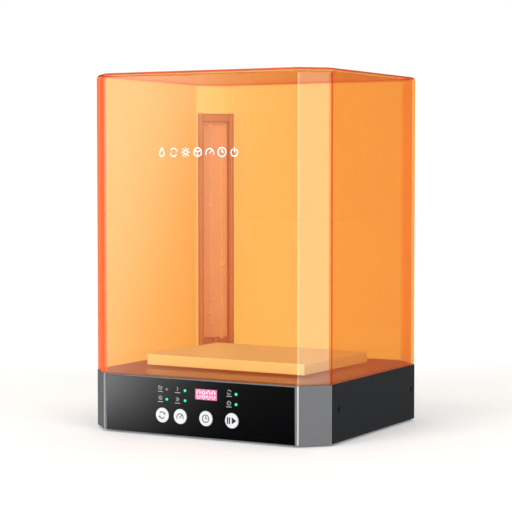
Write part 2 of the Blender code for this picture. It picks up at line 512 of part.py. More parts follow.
# Lamp column
def channel_outline():
    """Half-round tips on both flanges, a flat web behind, and cut-off rear corners."""
    half, tip, rear_cut = COLUMN_WIDE / 2, FLANGE_WIDE / 2, 0.0025
    points = []
    for centre in (-half + tip, half - tip):
        for i in range(TIP_STEPS + 1):
            angle = math.pi * (1 - i / TIP_STEPS)
            points.append((centre + tip * math.cos(angle), tip - tip * math.sin(angle)))
        if centre < 0:
            points.append((-half + FLANGE_WIDE, COLUMN_DEEP - WEB))
            points.append((half - FLANGE_WIDE, COLUMN_DEEP - WEB))
    points.append((half, COLUMN_DEEP - rear_cut))
    points.append((half - rear_cut, COLUMN_DEEP))
    points.append((rear_cut - half, COLUMN_DEEP))
    points.append((-half, COLUMN_DEEP - rear_cut))
    return points


def outline_mesh(name, points, low, high, finish, parent):
    """A closed outline extruded from low to high, as a mesh that can be cut."""
    curve = bpy.data.curves.new(name, "CURVE")
    curve.dimensions, curve.fill_mode, curve.extrude = "2D", "BOTH", (high - low) / 2
    spline = curve.splines.new("POLY")
    spline.points.add(len(points) - 1)
    for point, (x, y) in zip(spline.points, points):
        point.co = (x, y, 0, 1)
    spline.use_cyclic_u = True
    return curve_to_part(name, curve, finish, (0, 0, (low + high) / 2), parent)


def curve_to_part(name, curve, finish, at=(0, 0, 0), parent=None):
    guide = bpy.data.objects.new(name + "_guide", curve)
    bpy.context.scene.collection.objects.link(guide)
    bpy.context.view_layer.update()
    mesh = bpy.data.meshes.new_from_object(guide.evaluated_get(bpy.context.evaluated_depsgraph_get()))
    bpy.data.objects.remove(guide)
    bm = bmesh.new()
    bm.from_mesh(mesh)
    bmesh.ops.remove_doubles(bm, verts=bm.verts, dist=1e-6)
    bmesh.ops.recalc_face_normals(bm, faces=bm.faces)
    bpy.data.meshes.remove(mesh)
    return place(name, bm, finish, at=at, parent=parent, smooth=True)


def make_lamp():
    front = empty("lamp_front", column_spot(0, 0, 0), COLUMN_TURN)
    low, inner = DECK_TOP + GAP, COLUMN_WIDE / 2 - FLANGE_WIDE - GAP
    column = outline_mesh("lamp_column", channel_outline(), low, COLUMN_HIGH, "aluminium", front)
    board_back = COLUMN_DEEP - WEB - GAP
    board_front = board_back - LAMP_BOARD_THICK
    screw_spots = [(x, board_front - 0.0001, z) for x, z in LAMP_SCREWS]
    hole = pin(0.0014, -0.02, 0.02)
    board = blocks("lamp_board", [((-LAMP_BOARD_HALF, board_front, LAMP_BOARD_LOW),
                                   (LAMP_BOARD_HALF, board_back, LAMP_BOARD_HIGH))], "slab_white", parent=front)
    leds = [((x - LED_SIDE / 2, board_front - LED_THICK, top - row * LED_PITCH - LED_SIDE / 2),
             (x + LED_SIDE / 2, board_front + 0.0003, top - row * LED_PITCH + LED_SIDE / 2))
            for x, top in LED_COLUMNS for row in range(LED_ROWS)]
    boolean(board, blocks("join_leds", leds, parent=front), "UNION")
    for target, label in ((column, "column"), (board, "board")):
        boolean(target, tools(f"cut_{label}_screws", hole, screw_spots, (0, 1, 0), parent=front))
    cap_top = COLUMN_HIGH - CAP_BELOW
    blocks("lamp_top_cap", [((-inner, 0.0012, cap_top - CAP_HIGH), (inner, board_back, cap_top))],
           "aluminium", round_by=0.0004, parent=front)
    foot = blocks("lamp_foot", [((-inner, 0.0006, low), (inner, board_back, low + FOOT_BLOCK_HIGH))],
                  "aluminium", parent=front)
    spots = [(*spot, low) for spot in MOUNT_SCREWS]
    boolean(foot, tools("cut_foot_screws", pin(BORE_R, -0.005, 0.0070), spots, (0, 0, 1), parent=front))
    boolean(foot, tools("cut_foot_lead", pin(0.0024, -0.005, 0.0200), [(*LEAD_HOLE, low)],
                               (0, 0, 1), parent=front))
    spots = [(*spot, DECK_UNDER - GAP) for spot in MOUNT_SCREWS]
    screws([f"lamp_mount_screw_{side}" for side in SIDES], screw_shape(0.0028, 0.0017, 0.0014, 0.0095), spots,
           "-Z", parent=front)


# Electronics
def make_main_board():
    board = blocks("main_board", [(MAIN_LOW, MAIN_HIGH)], "board_green")
    corners = main_board_corners()
    holes = [(x, y, MAIN_LOW[2]) for x, y in corners]
    boolean(board, tools("cut_main_holes", pin(BORE_R, -0.005, 0.005), holes, (0, 0, 1)))
    seat = MAIN_HIGH[2] - 0.0003
    for name, (x, y) in PLUGS.items():
        plug = blocks(f"join_{name}_plug", [((x - 0.004, y - 0.003, seat), (x + 0.004, y + 0.003, PLUG_TOP))])
        boolean(board, plug, "UNION")
    fins = [((0.068, -0.007 + i * 0.004, seat), (0.082, -0.0055 + i * 0.004, PLUG_TOP)) for i in range(4)]
    boolean(board, blocks("join_heatsink", fins), "UNION")
    spots = [(0.100, y, 0) for y in (-0.030, -0.015)]
    boolean(board, tools("join_capacitors", pin(0.0050, seat, seat + 0.0140), spots, (0, 0, 1)), "UNION")
    boolean(board, blocks("join_inductor", [((0.060, 0.012, seat), (0.072, 0.024, seat + 0.0070))]), "UNION")


def make_rear_sockets():
    profile = ((0, -SOCKET_DEEP), (SOCKET_R, -SOCKET_DEEP), (SOCKET_R, BUTTON_PROUD),
               (INLET_R + 0.0020, BUTTON_PROUD), (INLET_R + 0.0020, 0.0001), (INLET_R, 0.0001),
               (INLET_R, -0.0130), (0, -0.0130))
    inlet = turned("dc_inlet", profile, "black_plastic", at=(INLET_X, REAR, REAR_Z), turn=AIMS["+Y"])
    boolean(inlet, tools("join_inlet_pin", pin(0.0010, -SOCKET_DEEP - 0.0010, -0.0010),
                         [(INLET_X, REAR, REAR_Z)], (0, 1, 0)), "UNION")
    wide, high, rim = ROCKER_HALF_X + 0.0020, ROCKER_HALF_Z + 0.0020, REAR + BUTTON_PROUD
    housing = blocks("switch_housing", [((SWITCH_X - wide, REAR - 0.0140, REAR_Z - high),
                                         (SWITCH_X + wide, rim, REAR_Z + high))], "black_plastic")
    half_x, half_z = ROCKER_HALF_X + GAP, ROCKER_HALF_Z + GAP
    boolean(housing, blocks("cut_housing", [((SWITCH_X - half_x, REAR - 0.0090, REAR_Z - half_z),
                                             (SWITCH_X + half_x, REAR + WALL, REAR_Z + half_z))]))
    axis = empty("rocker_axis", (SWITCH_X, REAR - 0.0040, REAR_Z))
    axis.rotation_euler = (ROCKER_TILT, 0, 0)
    blocks("power_rocker", [((-ROCKER_HALF_X, -0.0015, -0.0036), (ROCKER_HALF_X, 0.0034, 0.0036))],
           "black_plastic", round_by=0.0005, parent=axis)


def smooth_route(points, per_span):
    """Points along a smooth curve through the route's own points."""
    route = [Vector(p) for p in points]
    route = [2 * route[0] - route[1]] + route + [2 * route[-1] - route[-2]]
    made = []
    for i in range(1, len(route) - 2):
        a, b, c, d = route[i - 1:i + 3]
        for k in range(per_span):
            t = k / per_span
            made.append(0.5 * (2 * b + (c - a) * t + (2 * a - 5 * b + 4 * c - d) * t ** 2
                               + (3 * b - a - 3 * c + d) * t ** 3))
    return made + [route[-2]]


def lead(name, route, radius=0.0014, per_span=3, finish="lead_grey"):
    curve = bpy.data.curves.new(name, "CURVE")
    curve.dimensions, curve.bevel_depth, curve.bevel_resolution = "3D", radius, 2
    curve.use_fill_caps = True
    path = smooth_route(route, per_span)
    spline = curve.splines.new("POLY")
    spline.points.add(len(path) - 1)
    for point, spot in zip(spline.points, path):
        point.co = (*spot, 1)
    curve_to_part(name, curve, finish)


def make_leads():
    """Each lead ends just above its plug on the main board."""
    ends = {name: (x, y, PLUG_TOP + GAP) for name, (x, y) in PLUGS.items()}
    lead("motor_lead", ((0.0184, 0, 0.015), (0.026, 0, 0.015), (0.040, -0.014, 0.022),
                        (0.054, -0.027, 0.029), (0.058, -0.027, 0.027), ends["motor"]))
    back = BOARD_Y + BOARD_THICK + GAP
    lead("panel_lead", ((0.030, back, 0.025), (0.030, -0.098, 0.025), (0.045, -0.085, 0.028),
                        (0.070, -0.062, 0.032), (0.082, -0.050, 0.030), ends["panel"]))
    hole = column_spot(*LEAD_HOLE, 0)
    lead("lamp_lead", ((hole.x, hole.y, 0.071), (hole.x, hole.y, 0.060), (hole.x, hole.y, 0.045),
                       (hole.x + 0.012, hole.y + 0.003, 0.032), (-0.050, 0.095, 0.024), (0, 0.096, 0.020),
                       (0.045, 0.086, 0.022), (0.075, 0.062, 0.030), (0.082, 0.042, 0.028), ends["lamp"]))
    back = REAR - 0.0130 - GAP
    lead("power_lead", ((INLET_X, back, REAR_Z), (INLET_X, back - 0.006, REAR_Z), (0.060, 0.088, 0.034),
                        (0.072, 0.090, 0.034), (0.078, 0.094, REAR_Z), (0.078, back - 0.001, REAR_Z)))
    lead("switch_lead", ((0.086, back - 0.001, REAR_Z), (0.086, 0.094, REAR_Z), (0.094, 0.074, 0.030),
                         (0.098, 0.050, 0.030), (0.098, 0.041, 0.027), ends["power"]))


clear_scene()
parts, cutters = group(PARTS), group(CUTTERS)
finishes = make_materials()
make_base_shell()
make_front_frame()
make_front_panel()
make_buttons()
make_light_guides()
make_panel_electronics()
make_bottom_plate()
make_screws_and_feet()
make_deck()
make_hood()
make_spindle()
make_turntable()
make_drive()
make_lamp()
make_main_board()
make_rear_sockets()
make_leads()
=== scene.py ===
"""Looks for the resin curing station: fine surfaces, printed symbols, materials, light and camera.

Metres, +Z up, the front at -Y. Fine pieces stand for the plain solids of the frame, in the same places.
"""
import json
import math

import bmesh
import bpy
from mathutils import Matrix, Vector

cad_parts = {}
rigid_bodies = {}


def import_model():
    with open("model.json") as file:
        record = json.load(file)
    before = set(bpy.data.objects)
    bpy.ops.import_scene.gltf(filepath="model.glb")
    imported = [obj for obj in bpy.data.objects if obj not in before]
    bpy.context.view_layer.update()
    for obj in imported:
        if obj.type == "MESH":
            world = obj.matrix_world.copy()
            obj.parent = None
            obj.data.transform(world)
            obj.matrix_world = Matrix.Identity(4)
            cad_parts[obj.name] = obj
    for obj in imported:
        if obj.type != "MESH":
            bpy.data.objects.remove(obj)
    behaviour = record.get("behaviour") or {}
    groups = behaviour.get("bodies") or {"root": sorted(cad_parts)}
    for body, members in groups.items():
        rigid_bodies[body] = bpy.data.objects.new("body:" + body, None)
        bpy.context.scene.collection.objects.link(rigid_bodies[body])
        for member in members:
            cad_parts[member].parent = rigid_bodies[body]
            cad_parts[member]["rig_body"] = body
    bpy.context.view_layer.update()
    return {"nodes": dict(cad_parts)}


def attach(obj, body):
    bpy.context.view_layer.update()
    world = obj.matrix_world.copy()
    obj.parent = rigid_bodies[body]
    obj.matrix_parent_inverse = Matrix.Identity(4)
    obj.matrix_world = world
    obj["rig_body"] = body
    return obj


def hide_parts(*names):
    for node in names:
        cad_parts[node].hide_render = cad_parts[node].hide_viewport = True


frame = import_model()
nodes = frame["nodes"]

# The frame's own sizes, which the fine pieces repeat. Spots on the panel are (x, z) from its middle line.
HALF_X, HALF_Y, TOP = 0.12725, 0.1155, 0.3406
CORNER, BEND, HOOD_BEND, CROWN = 0.023, 0.0030, 0.0045, 0.0042
FOOT, BASE_TOP, WALL, GAP = 0.002, 0.0557, 0.003, 0.0003
SEAM_Y = -0.0925
PANEL_HALF, PANEL_TOP, PANEL_THICK = 0.1012, 0.0542, 0.0015
FRONT, REAR = -HALF_Y, HALF_Y
BUTTONS = {"mode": -0.0385, "speed": -0.0189, "time": 0.0088, "start_pause": 0.0363}
BUTTON_Z, BUTTON_R, PROUD = 0.0199, 0.0070, 0.0006
GUIDES, GUIDE_ZS, GUIDE_R = {"mode": -0.0337, "speed": -0.0138, "run": 0.0407}, (0.0444, 0.0350), 0.00125
DISPLAY_X, DISPLAY_Z, DISPLAY_WIDE, DISPLAY_HIGH = 0.0089, 0.0420, 0.0232, 0.0100
LABEL_SPOTS = {"wash": (-0.0408, 0.0449), "cure": (-0.0407, 0.0353), "slow": (-0.0218, 0.0450),
               "fast": (-0.0218, 0.0351), "turn": (0.0335, 0.0451), "power": (0.0333, 0.0353)}
SCREW_YS, SCREW_Z = (-0.0787, 0.0836), 0.0320
COLUMN_TURN, COLUMN_SIDE, COLUMN_FRONT = math.radians(45), -0.0066, 0.1310
COLUMN_WIDE, COLUMN_DEEP, COLUMN_TOP, FLANGE, WEB = 0.0370, 0.0120, 0.3084, 0.0042, 0.0020
BOARD_HALF, BOARD_LOW, BOARD_HIGH, BOARD_FRONT, BOARD_BACK = 0.0128, 0.0720, 0.2992, 0.0081, 0.0097
LED_PITCH, LED_ROWS, LED_COLUMNS = 0.0248, 9, ((-0.0042, 0.2843), (0.0068, 0.2700))
LAMP_SCREWS = ((-0.0062, 0.2958), (-0.0062, 0.2119), (0.0084, 0.1492), (-0.0062, 0.0976))
DECK_TOP = 0.0569
SLAB_HALF_X, SLAB_HALF_Y, SLAB_LOW, SLAB_TOP = 0.08785, 0.0643, 0.0590, 0.0695
SLAB_TURN = math.radians(-1.8)
REAR_Z, INLET_X, SWITCH_X = 0.0290, 0.052, 0.082
PAD_X, PAD_Y, PAD_R, POST_X, POST_Y = 0.095, 0.085, 0.0080, 0.108, 0.070

# Camera
CAMERA_AT = (0.7998, -1.4526, 0.2494)
CAMERA_AZIMUTH, CAMERA_DOWN, LENS, SENSOR = math.radians(28.903), math.radians(2.921), 119.05, 36.0

PRINT_THICK = 0.00008
SHARP_ANGLE, BEVELLED_SHARP_ANGLE = 32, 50  # in degrees, a sharper turn stays a crisp edge


# Materials
NOISE_DETAIL, NOISE_RANGE = 3.0, (0.3, 0.7)  # most of a noise's values lie in this range
WIDE_GRAIN = 40  # the wide grain's size, in fine grains
LAMP_PATH_CUT = 0.6  # lamp light goes only 0.4 of the path through the hood, so the inside is not too dark
EDGE_ON = (0.58, 0.70)  # Facing values between which a face counts as seen edge on
MIRROR_LEAST, MIRROR_EDGE = 0.035, 0.55  # share of mirrored light, face on and added edge on
CLEAR = (0.997, 0.925, 0.665)  # what the hood lets through


FINISHES = {}


def node_tree(name):
    """A new material, which FINISHES keeps under its name, with its nodes and its main shader."""
    material = bpy.data.materials.new(name)
    material.use_nodes = True
    FINISHES[name] = material
    return material, material.node_tree, material.node_tree.nodes["Principled BSDF"]


def add(tree, kind):
    return tree.nodes.new("ShaderNode" + kind)


def maths(tree, operation, first, second=None, clamp=False):
    """A Math node's result. Each side is a number or a socket."""
    node = add(tree, "Math")
    node.operation, node.use_clamp = operation, clamp
    for slot, value in zip(node.inputs, (first, second)):
        if value is None:
            continue
        if isinstance(value, (int, float)):
            slot.default_value = value
        else:
            tree.links.new(value, slot)
    return node.outputs[0]


def noise(tree, scale, stretch=(1, 1, 1)):
    """Noise over the object's own place, so that it keeps its real size."""
    place = add(tree, "TexCoord")
    mapping = add(tree, "Mapping")
    mapping.inputs["Scale"].default_value = stretch
    texture = add(tree, "TexNoise")
    texture.inputs["Scale"].default_value = scale
    texture.inputs["Detail"].default_value = NOISE_DETAIL
    tree.links.new(place.outputs["Object"], mapping.inputs["Vector"])
    tree.links.new(mapping.outputs["Vector"], texture.inputs["Vector"])
    return texture.outputs["Fac"]


def stretch_range(tree, value, source, target):
    """The value, drawn out from one range to another and held at its ends."""
    node = add(tree, "MapRange")
    node.inputs["From Min"].default_value, node.inputs["From Max"].default_value = source
    node.inputs["To Min"].default_value, node.inputs["To Max"].default_value = target
    tree.links.new(value, node.inputs["Value"])
    return node.outputs["Result"]


def spread(tree, value, low, high):
    """The noise, drawn out from low to high."""
    return stretch_range(tree, value, NOISE_RANGE, (low, high))


def tinted(tree, colour, value, depth):
    """The colour, darkened by up to depth where the value is low."""
    mix = add(tree, "Mix")
    mix.data_type = "RGBA"
    # a Mix node has a pair of inputs for each data type: 6 and 7 are the colours
    mix.inputs[6].default_value = (*[c * (1 - depth) for c in colour], 1)
    mix.inputs[7].default_value = (*colour, 1)
    tree.links.new(value, mix.inputs[0])
    return mix.outputs[2]


def surface(name, colour, rough, metallic=0.0, grain=900, bump=0.0, depth=0.12, swing=0.06,
            stretch=(1, 1, 1), **sockets):
    """A Principled material whose colour, roughness and relief vary with a fine grain."""
    material, tree, shader = node_tree(name)
    value = noise(tree, grain, stretch=stretch)
    wide = noise(tree, grain / WIDE_GRAIN, stretch=stretch)
    tree.links.new(tinted(tree, colour, spread(tree, wide, 0, 1), depth), shader.inputs["Base Color"])
    fine_part = spread(tree, value, -swing, swing)
    wide_part = spread(tree, wide, rough - swing / 2, rough + swing / 2)
    tree.links.new(maths(tree, "ADD", fine_part, wide_part, clamp=True), shader.inputs["Roughness"])
    shader.inputs["Metallic"].default_value = metallic
    if bump:
        relief = add(tree, "Bump")
        relief.inputs["Strength"].default_value = 1.0
        relief.inputs["Distance"].default_value = bump
        tree.links.new(value, relief.inputs["Height"])
        tree.links.new(relief.outputs["Normal"], shader.inputs["Normal"])
    for key, number in sockets.items():
        shader.inputs[key.replace("_", " ")].default_value = number
    return material


def glowing(name, colour, strength):
    """A lit plastic: its glow is a little uneven, as light through a guide is."""
    material, tree, shader = node_tree(name)
    value = spread(tree, noise(tree, 500), 0, 1)
    for socket in ("Base Color", "Emission Color"):
        tree.links.new(tinted(tree, colour, value, 0.06), shader.inputs[socket])
    shader.inputs["Emission Strength"].default_value = strength
    shader.inputs["Roughness"].default_value = 0.2
    return material


def mixed(tree, share, first, second):
    """Two shaders, with this share of the second."""
    node = add(tree, "MixShader")
    tree.links.new(share, node.inputs["Fac"])
    tree.links.new(first, node.inputs[1])
    tree.links.new(second, node.inputs[2])
    return node.outputs["Shader"]


def acrylic(name, clear, haze, haze_share, least=0.27, edge_haze=0.0):
    """Tinted clear sheet with some haze in it, deeper in colour where it is seen at a slant.

    Light goes a longer way through it there, up to 1 / least times its thickness. On a face that is seen
    almost edge on, the haze grows to edge_haze.
    """
    material, tree, shader = node_tree(name)
    facing = add(tree, "LayerWeight")
    facing.inputs["Blend"].default_value = 0.5
    slant = facing.outputs["Facing"]
    length = maths(tree, "DIVIDE", 1.0, maths(tree, "MAXIMUM", maths(tree, "SUBTRACT", 1.0, slant), least))
    path = add(tree, "LightPath")
    indirect = maths(tree, "MAXIMUM", path.outputs["Is Shadow Ray"], path.outputs["Is Diffuse Ray"])
    cut = maths(tree, "MULTIPLY", indirect, LAMP_PATH_CUT)
    length = maths(tree, "MULTIPLY", length, maths(tree, "SUBTRACT", 1.0, cut))
    tint = add(tree, "CombineColor")
    for channel, value in zip(("Red", "Green", "Blue"), clear):
        tree.links.new(maths(tree, "POWER", value, length), tint.inputs[channel])
    through = add(tree, "BsdfTransparent")
    tree.links.new(tint.outputs["Color"], through.inputs["Color"])
    wide = spread(tree, noise(tree, 14), 0, 1)
    tree.links.new(tinted(tree, haze, wide, 0.05), shader.inputs["Base Color"])
    shader.inputs["Roughness"].default_value = 0.5
    shader.inputs["Specular IOR Level"].default_value = 0.0
    share = maths(tree, "SUBTRACT", 1.0, maths(tree, "POWER", 1 - haze_share, length))
    share = maths(tree, "MAXIMUM", share, stretch_range(tree, slant, EDGE_ON, (0, edge_haze)))
    body = mixed(tree, share, through.outputs["BSDF"], shader.outputs["BSDF"])
    mirror = add(tree, "BsdfGlossy")
    mirror.inputs["Color"].default_value = (1, 1, 1, 1)
    tree.links.new(spread(tree, noise(tree, 60), 0.015, 0.05), mirror.inputs["Roughness"])
    edge = maths(tree, "MULTIPLY", maths(tree, "POWER", slant, 5.0), MIRROR_EDGE)
    mirrored = maths(tree, "ADD", edge, MIRROR_LEAST)
    whole = mixed(tree, mirrored, body, mirror.outputs["BSDF"])
    tree.links.new(whole, tree.nodes["Material Output"].inputs["Surface"])
    return material


# Finishes: base colour, roughness and metallic, then grain and relief
surface("dark_shell", (0.019, 0.021, 0.023), 0.42, grain=2600, bump=0.00006)
surface("deck_gloss", (0.024, 0.021, 0.022), 0.30, grain=2200, swing=0.03, depth=0.05)
surface("frame_grey", (0.140, 0.143, 0.148), 0.32, 0.15, grain=3200, bump=0.00002, depth=0.03, swing=0.03)
# A lighter, more metallic finish for the frame's bends: it reflects the studio lights, and its lighter
# colour is a painted highlight along the edges.
surface("frame_edge_highlight", (0.40, 0.40, 0.41), 0.30, 0.5, grain=3200, depth=0.03, swing=0.03)
surface("panel_black", (0.0014, 0.0015, 0.0018), 0.07, grain=700, swing=0.015, Specular_IOR_Level=0.85)
surface("key_white", (0.60, 0.61, 0.63), 0.34, grain=1800, bump=0.00001, depth=0.03)
surface("print_white", (0.88, 0.88, 0.88), 0.45, grain=2500, depth=0.04)
surface("print_pale", (0.34, 0.34, 0.35), 0.45, grain=2500, depth=0.04)
surface("print_grey", (0.050, 0.052, 0.055), 0.5, grain=2500, depth=0.1)
surface("print_black", (0.010, 0.010, 0.011), 0.5, grain=2500, depth=0.1)
glowing("display_pink", (0.54, 0.12, 0.23), 0.36)
glowing("digit_white", (0.80, 0.68, 0.74), 0.45)
glowing("lamp_green", (0.03, 0.56, 0.32), 0.85)
surface("lamp_off", (0.22, 0.24, 0.25), 0.2, grain=900, depth=0.05)
acrylic("hood", CLEAR, (1.0, 0.20, 0.06), 0.11)
# Deeper tint for the bends beside the side walls and for the crown's rounded edge: painted shade for the
# dark lines that the curved sheet shows there.
acrylic("hood_bend_shade", (0.84, 0.34, 0.10), (1.0, 0.10, 0.02), 0.22)
acrylic("hood_corners", CLEAR, (1.0, 0.13, 0.04), 0.10, edge_haze=0.78)
acrylic("hood_roof", (0.997, 0.945, 0.72), (1.0, 0.24, 0.08), 0.08, least=0.42)
surface("slab_white", (0.84, 0.83, 0.78), 0.38, grain=1500, bump=0.00002, depth=0.03)
# This metal's red-pink tone, on the column, its cap and foot and the motor bracket, is a painted cast of
# the lamp's violet light and the hood's orange light; the aluminium itself is silver.
surface("column_metal", (0.42, 0.21, 0.20), 0.42, 0.35, grain=1600, bump=0.00001,
        depth=0.06, stretch=(1, 1, 0.02))
# The board's pink tone is a painted cast of the lamp's violet light and the hood's orange light; the board
# itself is white.
surface("board_white_painted_lamp_light", (0.78, 0.46, 0.54), 0.45, grain=1500, depth=0.05)
surface("trace", (0.78, 0.64, 0.68), 0.4, grain=1500, depth=0.05)
surface("chip", (0.74, 0.62, 0.62), 0.35, grain=1500, depth=0.05)
surface("lamp_lens", (0.66, 0.56, 0.58), 0.12, grain=1500, depth=0.08)
surface("board_green", (0.02, 0.17, 0.08), 0.35, grain=700, depth=0.25)
surface("black_plastic", (0.018, 0.018, 0.020), 0.42, grain=2600, bump=0.00003)
surface("steel", (0.60, 0.61, 0.62), 0.28, 1.0, grain=1800, bump=0.00001)
surface("zinc", (0.92, 0.86, 0.60), 0.35, 0.25, grain=1800, bump=0.00001)
surface("black_steel", (0.022, 0.022, 0.024), 0.36, 0.6, grain=2200, bump=0.00003)
surface("magnet", (0.70, 0.70, 0.72), 0.18, 1.0, grain=1200)
surface("brass", (0.80, 0.58, 0.25), 0.28, 1.0, grain=1600, stretch=(1, 1, 8))
surface("rubber", (0.020, 0.020, 0.021), 0.80, grain=2800, bump=0.00008)
surface("lead_grey", (0.28, 0.28, 0.29), 0.55, grain=1800, depth=0.15)


# Meshes
def piece(name, bm, finish, body="base", replaces=(), bevel=0.0, at=None):
    """A named piece from a bmesh. A bevel softens its sharp edges."""
    bmesh.ops.recalc_face_normals(bm, faces=bm.faces)
    if at is not None:
        bm.transform(at)
    mesh = bpy.data.meshes.new(name)
    bm.to_mesh(mesh)
    bm.free()
    thing = bpy.data.objects.new(name, mesh)
    bpy.context.scene.collection.objects.link(thing)
    mesh.materials.append(FINISHES[finish])
    smoothed(thing, bevel)
    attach(thing, body)
    if replaces:
        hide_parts(*replaces)
    return thing


def applied(thing):
    """The piece with its modifiers made real."""
    bpy.context.view_layer.update()
    graph = bpy.context.evaluated_depsgraph_get()
    fresh = bpy.data.meshes.new_from_object(thing.evaluated_get(graph))
    old, name = thing.data, thing.data.name
    thing.modifiers.clear()
    thing.data = fresh
    bpy.data.meshes.remove(old)
    fresh.name = name
    return thing


def smoothed(thing, bevel=0.0):
    """Smooth shading with crisp edges. Its normals lean to the large faces, which keeps them flat."""
    if bevel:
        step = thing.modifiers.new("edges", "BEVEL")
        step.width, step.segments, step.limit_method = bevel, 2, "ANGLE"
        step.angle_limit = math.radians(SHARP_ANGLE)
        step.use_clamp_overlap = True
        applied(thing)
    thing.data.shade_smooth()
    thing.data.set_sharp_from_angle(angle=math.radians(BEVELLED_SHARP_ANGLE if bevel else SHARP_ANGLE))
    step = thing.modifiers.new("normals", "WEIGHTED_NORMAL")
    step.keep_sharp = True
    return applied(thing)


def carve(bm, tool_bm):
    """The first shape with the second cut from it."""
    holders = []
    for shape in (bm, tool_bm):
        bmesh.ops.recalc_face_normals(shape, faces=shape.faces)
        mesh = bpy.data.meshes.new("shape")
        shape.to_mesh(mesh)
        shape.free()
        holders.append(bpy.data.objects.new("shape", mesh))
        bpy.context.scene.collection.objects.link(holders[-1])
    step = holders[0].modifiers.new("carve", "BOOLEAN")
    step.object, step.operation, step.solver = holders[1], "DIFFERENCE", "EXACT"
    bpy.context.view_layer.update()
    graph = bpy.context.evaluated_depsgraph_get()
    fresh = bpy.data.meshes.new_from_object(holders[0].evaluated_get(graph))
    result = bmesh.new()
    result.from_mesh(fresh)
    bpy.data.meshes.remove(fresh)
    for holder in holders:
        mesh = holder.data
        bpy.data.objects.remove(holder)
        bpy.data.meshes.remove(mesh)
    return result


def block(low, high, bm=None):
    """A box between two corners, added to a shape if one is given."""
    bm = bm or bmesh.new()
    middle = [(a + b) / 2 for a, b in zip(low, high)]
    size = [b - a for a, b in zip(low, high)]
    bmesh.ops.create_cube(bm, size=1, matrix=Matrix.Translation(middle) @ Matrix.Diagonal((*size, 1)))
    return bm


def merge(bm, other):
    """Adds the other shape's faces to the first."""
    scratch = bpy.data.meshes.new("scratch")
    other.to_mesh(scratch)
    other.free()
    bm.from_mesh(scratch)
    bpy.data.meshes.remove(scratch)
    return bm


def stadium(x, y, radius, half, steps=8):
    """The outline of a slot with round ends, upright in x and y."""
    points = []
    for sign in (1, -1):
        for i in range(steps + 1):
            t = math.pi * i / steps + (0 if sign > 0 else math.pi)
            points.append((x + radius * math.cos(t), y + sign * half + radius * math.sin(t)))
    return points


def rounded_block(low, high, radius, segments=3):
    bm = block(low, high)
    bmesh.ops.bevel(bm, geom=bm.edges[:], offset=radius, segments=segments, profile=0.5, affect="EDGES")
    return bm


def turned(profile, steps=48, matrix=None, bm=None, closed=False):
    """(radius, height) points turned about Z, then moved by the matrix."""
    fresh = bmesh.new()
    corners = [fresh.verts.new((radius, 0, height)) for radius, height in profile]
    edges = [fresh.edges.new(pair) for pair in zip(corners, corners[1:])]
    if closed:
        edges.append(fresh.edges.new((corners[-1], corners[0])))
    bmesh.ops.spin(fresh, geom=corners + edges, axis=(0, 0, 1), cent=(0, 0, 0), steps=steps,
                   angle=2 * math.pi, use_merge=True)
    bmesh.ops.remove_doubles(fresh, verts=fresh.verts, dist=1e-6)
    bmesh.ops.recalc_face_normals(fresh, faces=fresh.faces)
    if matrix is not None:
        fresh.transform(matrix)
    return fresh if bm is None else merge(bm, fresh)


def pin(radius, low, high):
    """The profile of a solid cylinder, for turned()."""
    return ((0, high), (radius, high), (radius, low), (0, low))


def ring(inner, outer, low, high):
    """The profile of a tube, for a closed turned()."""
    return ((inner, high), (outer, high), (outer, low), (inner, low))


def aimed(at, axis):
    """Puts a turned shape's foot at a point, with its heights along an axis."""
    return Matrix.Translation(at) @ Vector((0, 0, 1)).rotation_difference(Vector(axis)).to_matrix().to_4x4()


def prism(inset, low, high, bend=BEND, segments=8, crown=0.0, crown_segments=6):
    """The eight-sided outline, moved in by inset, as an upright prism."""
    bm = block((inset - HALF_X, inset - HALF_Y, low), (HALF_X - inset, HALF_Y - inset, high))

    def upright():
        return [edge for edge in bm.edges
                if abs(edge.verts[0].co.z - edge.verts[1].co.z) > (high - low) / 2]

    def rounded(edges, offset, steps):
        bmesh.ops.bevel(bm, geom=edges, offset=offset, segments=steps, profile=0.5, affect="EDGES")

    rounded(upright(), CORNER - inset * (2 - math.sqrt(2)), 1)
    if bend > inset:
        rounded(upright(), (bend - inset) * math.tan(math.pi / 8), segments)
    if crown:
        rim = [edge for edge in bm.edges if min(vert.co.z for vert in edge.verts) > high - 1e-6]
        rounded(rim, crown, crown_segments)
    return bm


def refined(node, finish, bevel=0.0):
    """A fine copy of a frame node: its facets joined and its edges softened."""
    bm = bmesh.new()
    bm.from_mesh(nodes[node].data)
    bmesh.ops.remove_doubles(bm, verts=bm.verts, dist=2e-6)
    bmesh.ops.dissolve_limit(bm, angle_limit=math.radians(0.5), verts=bm.verts, edges=bm.edges)
    return piece("fine_" + node, bm, finish, nodes[node]["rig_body"], (node,), bevel)


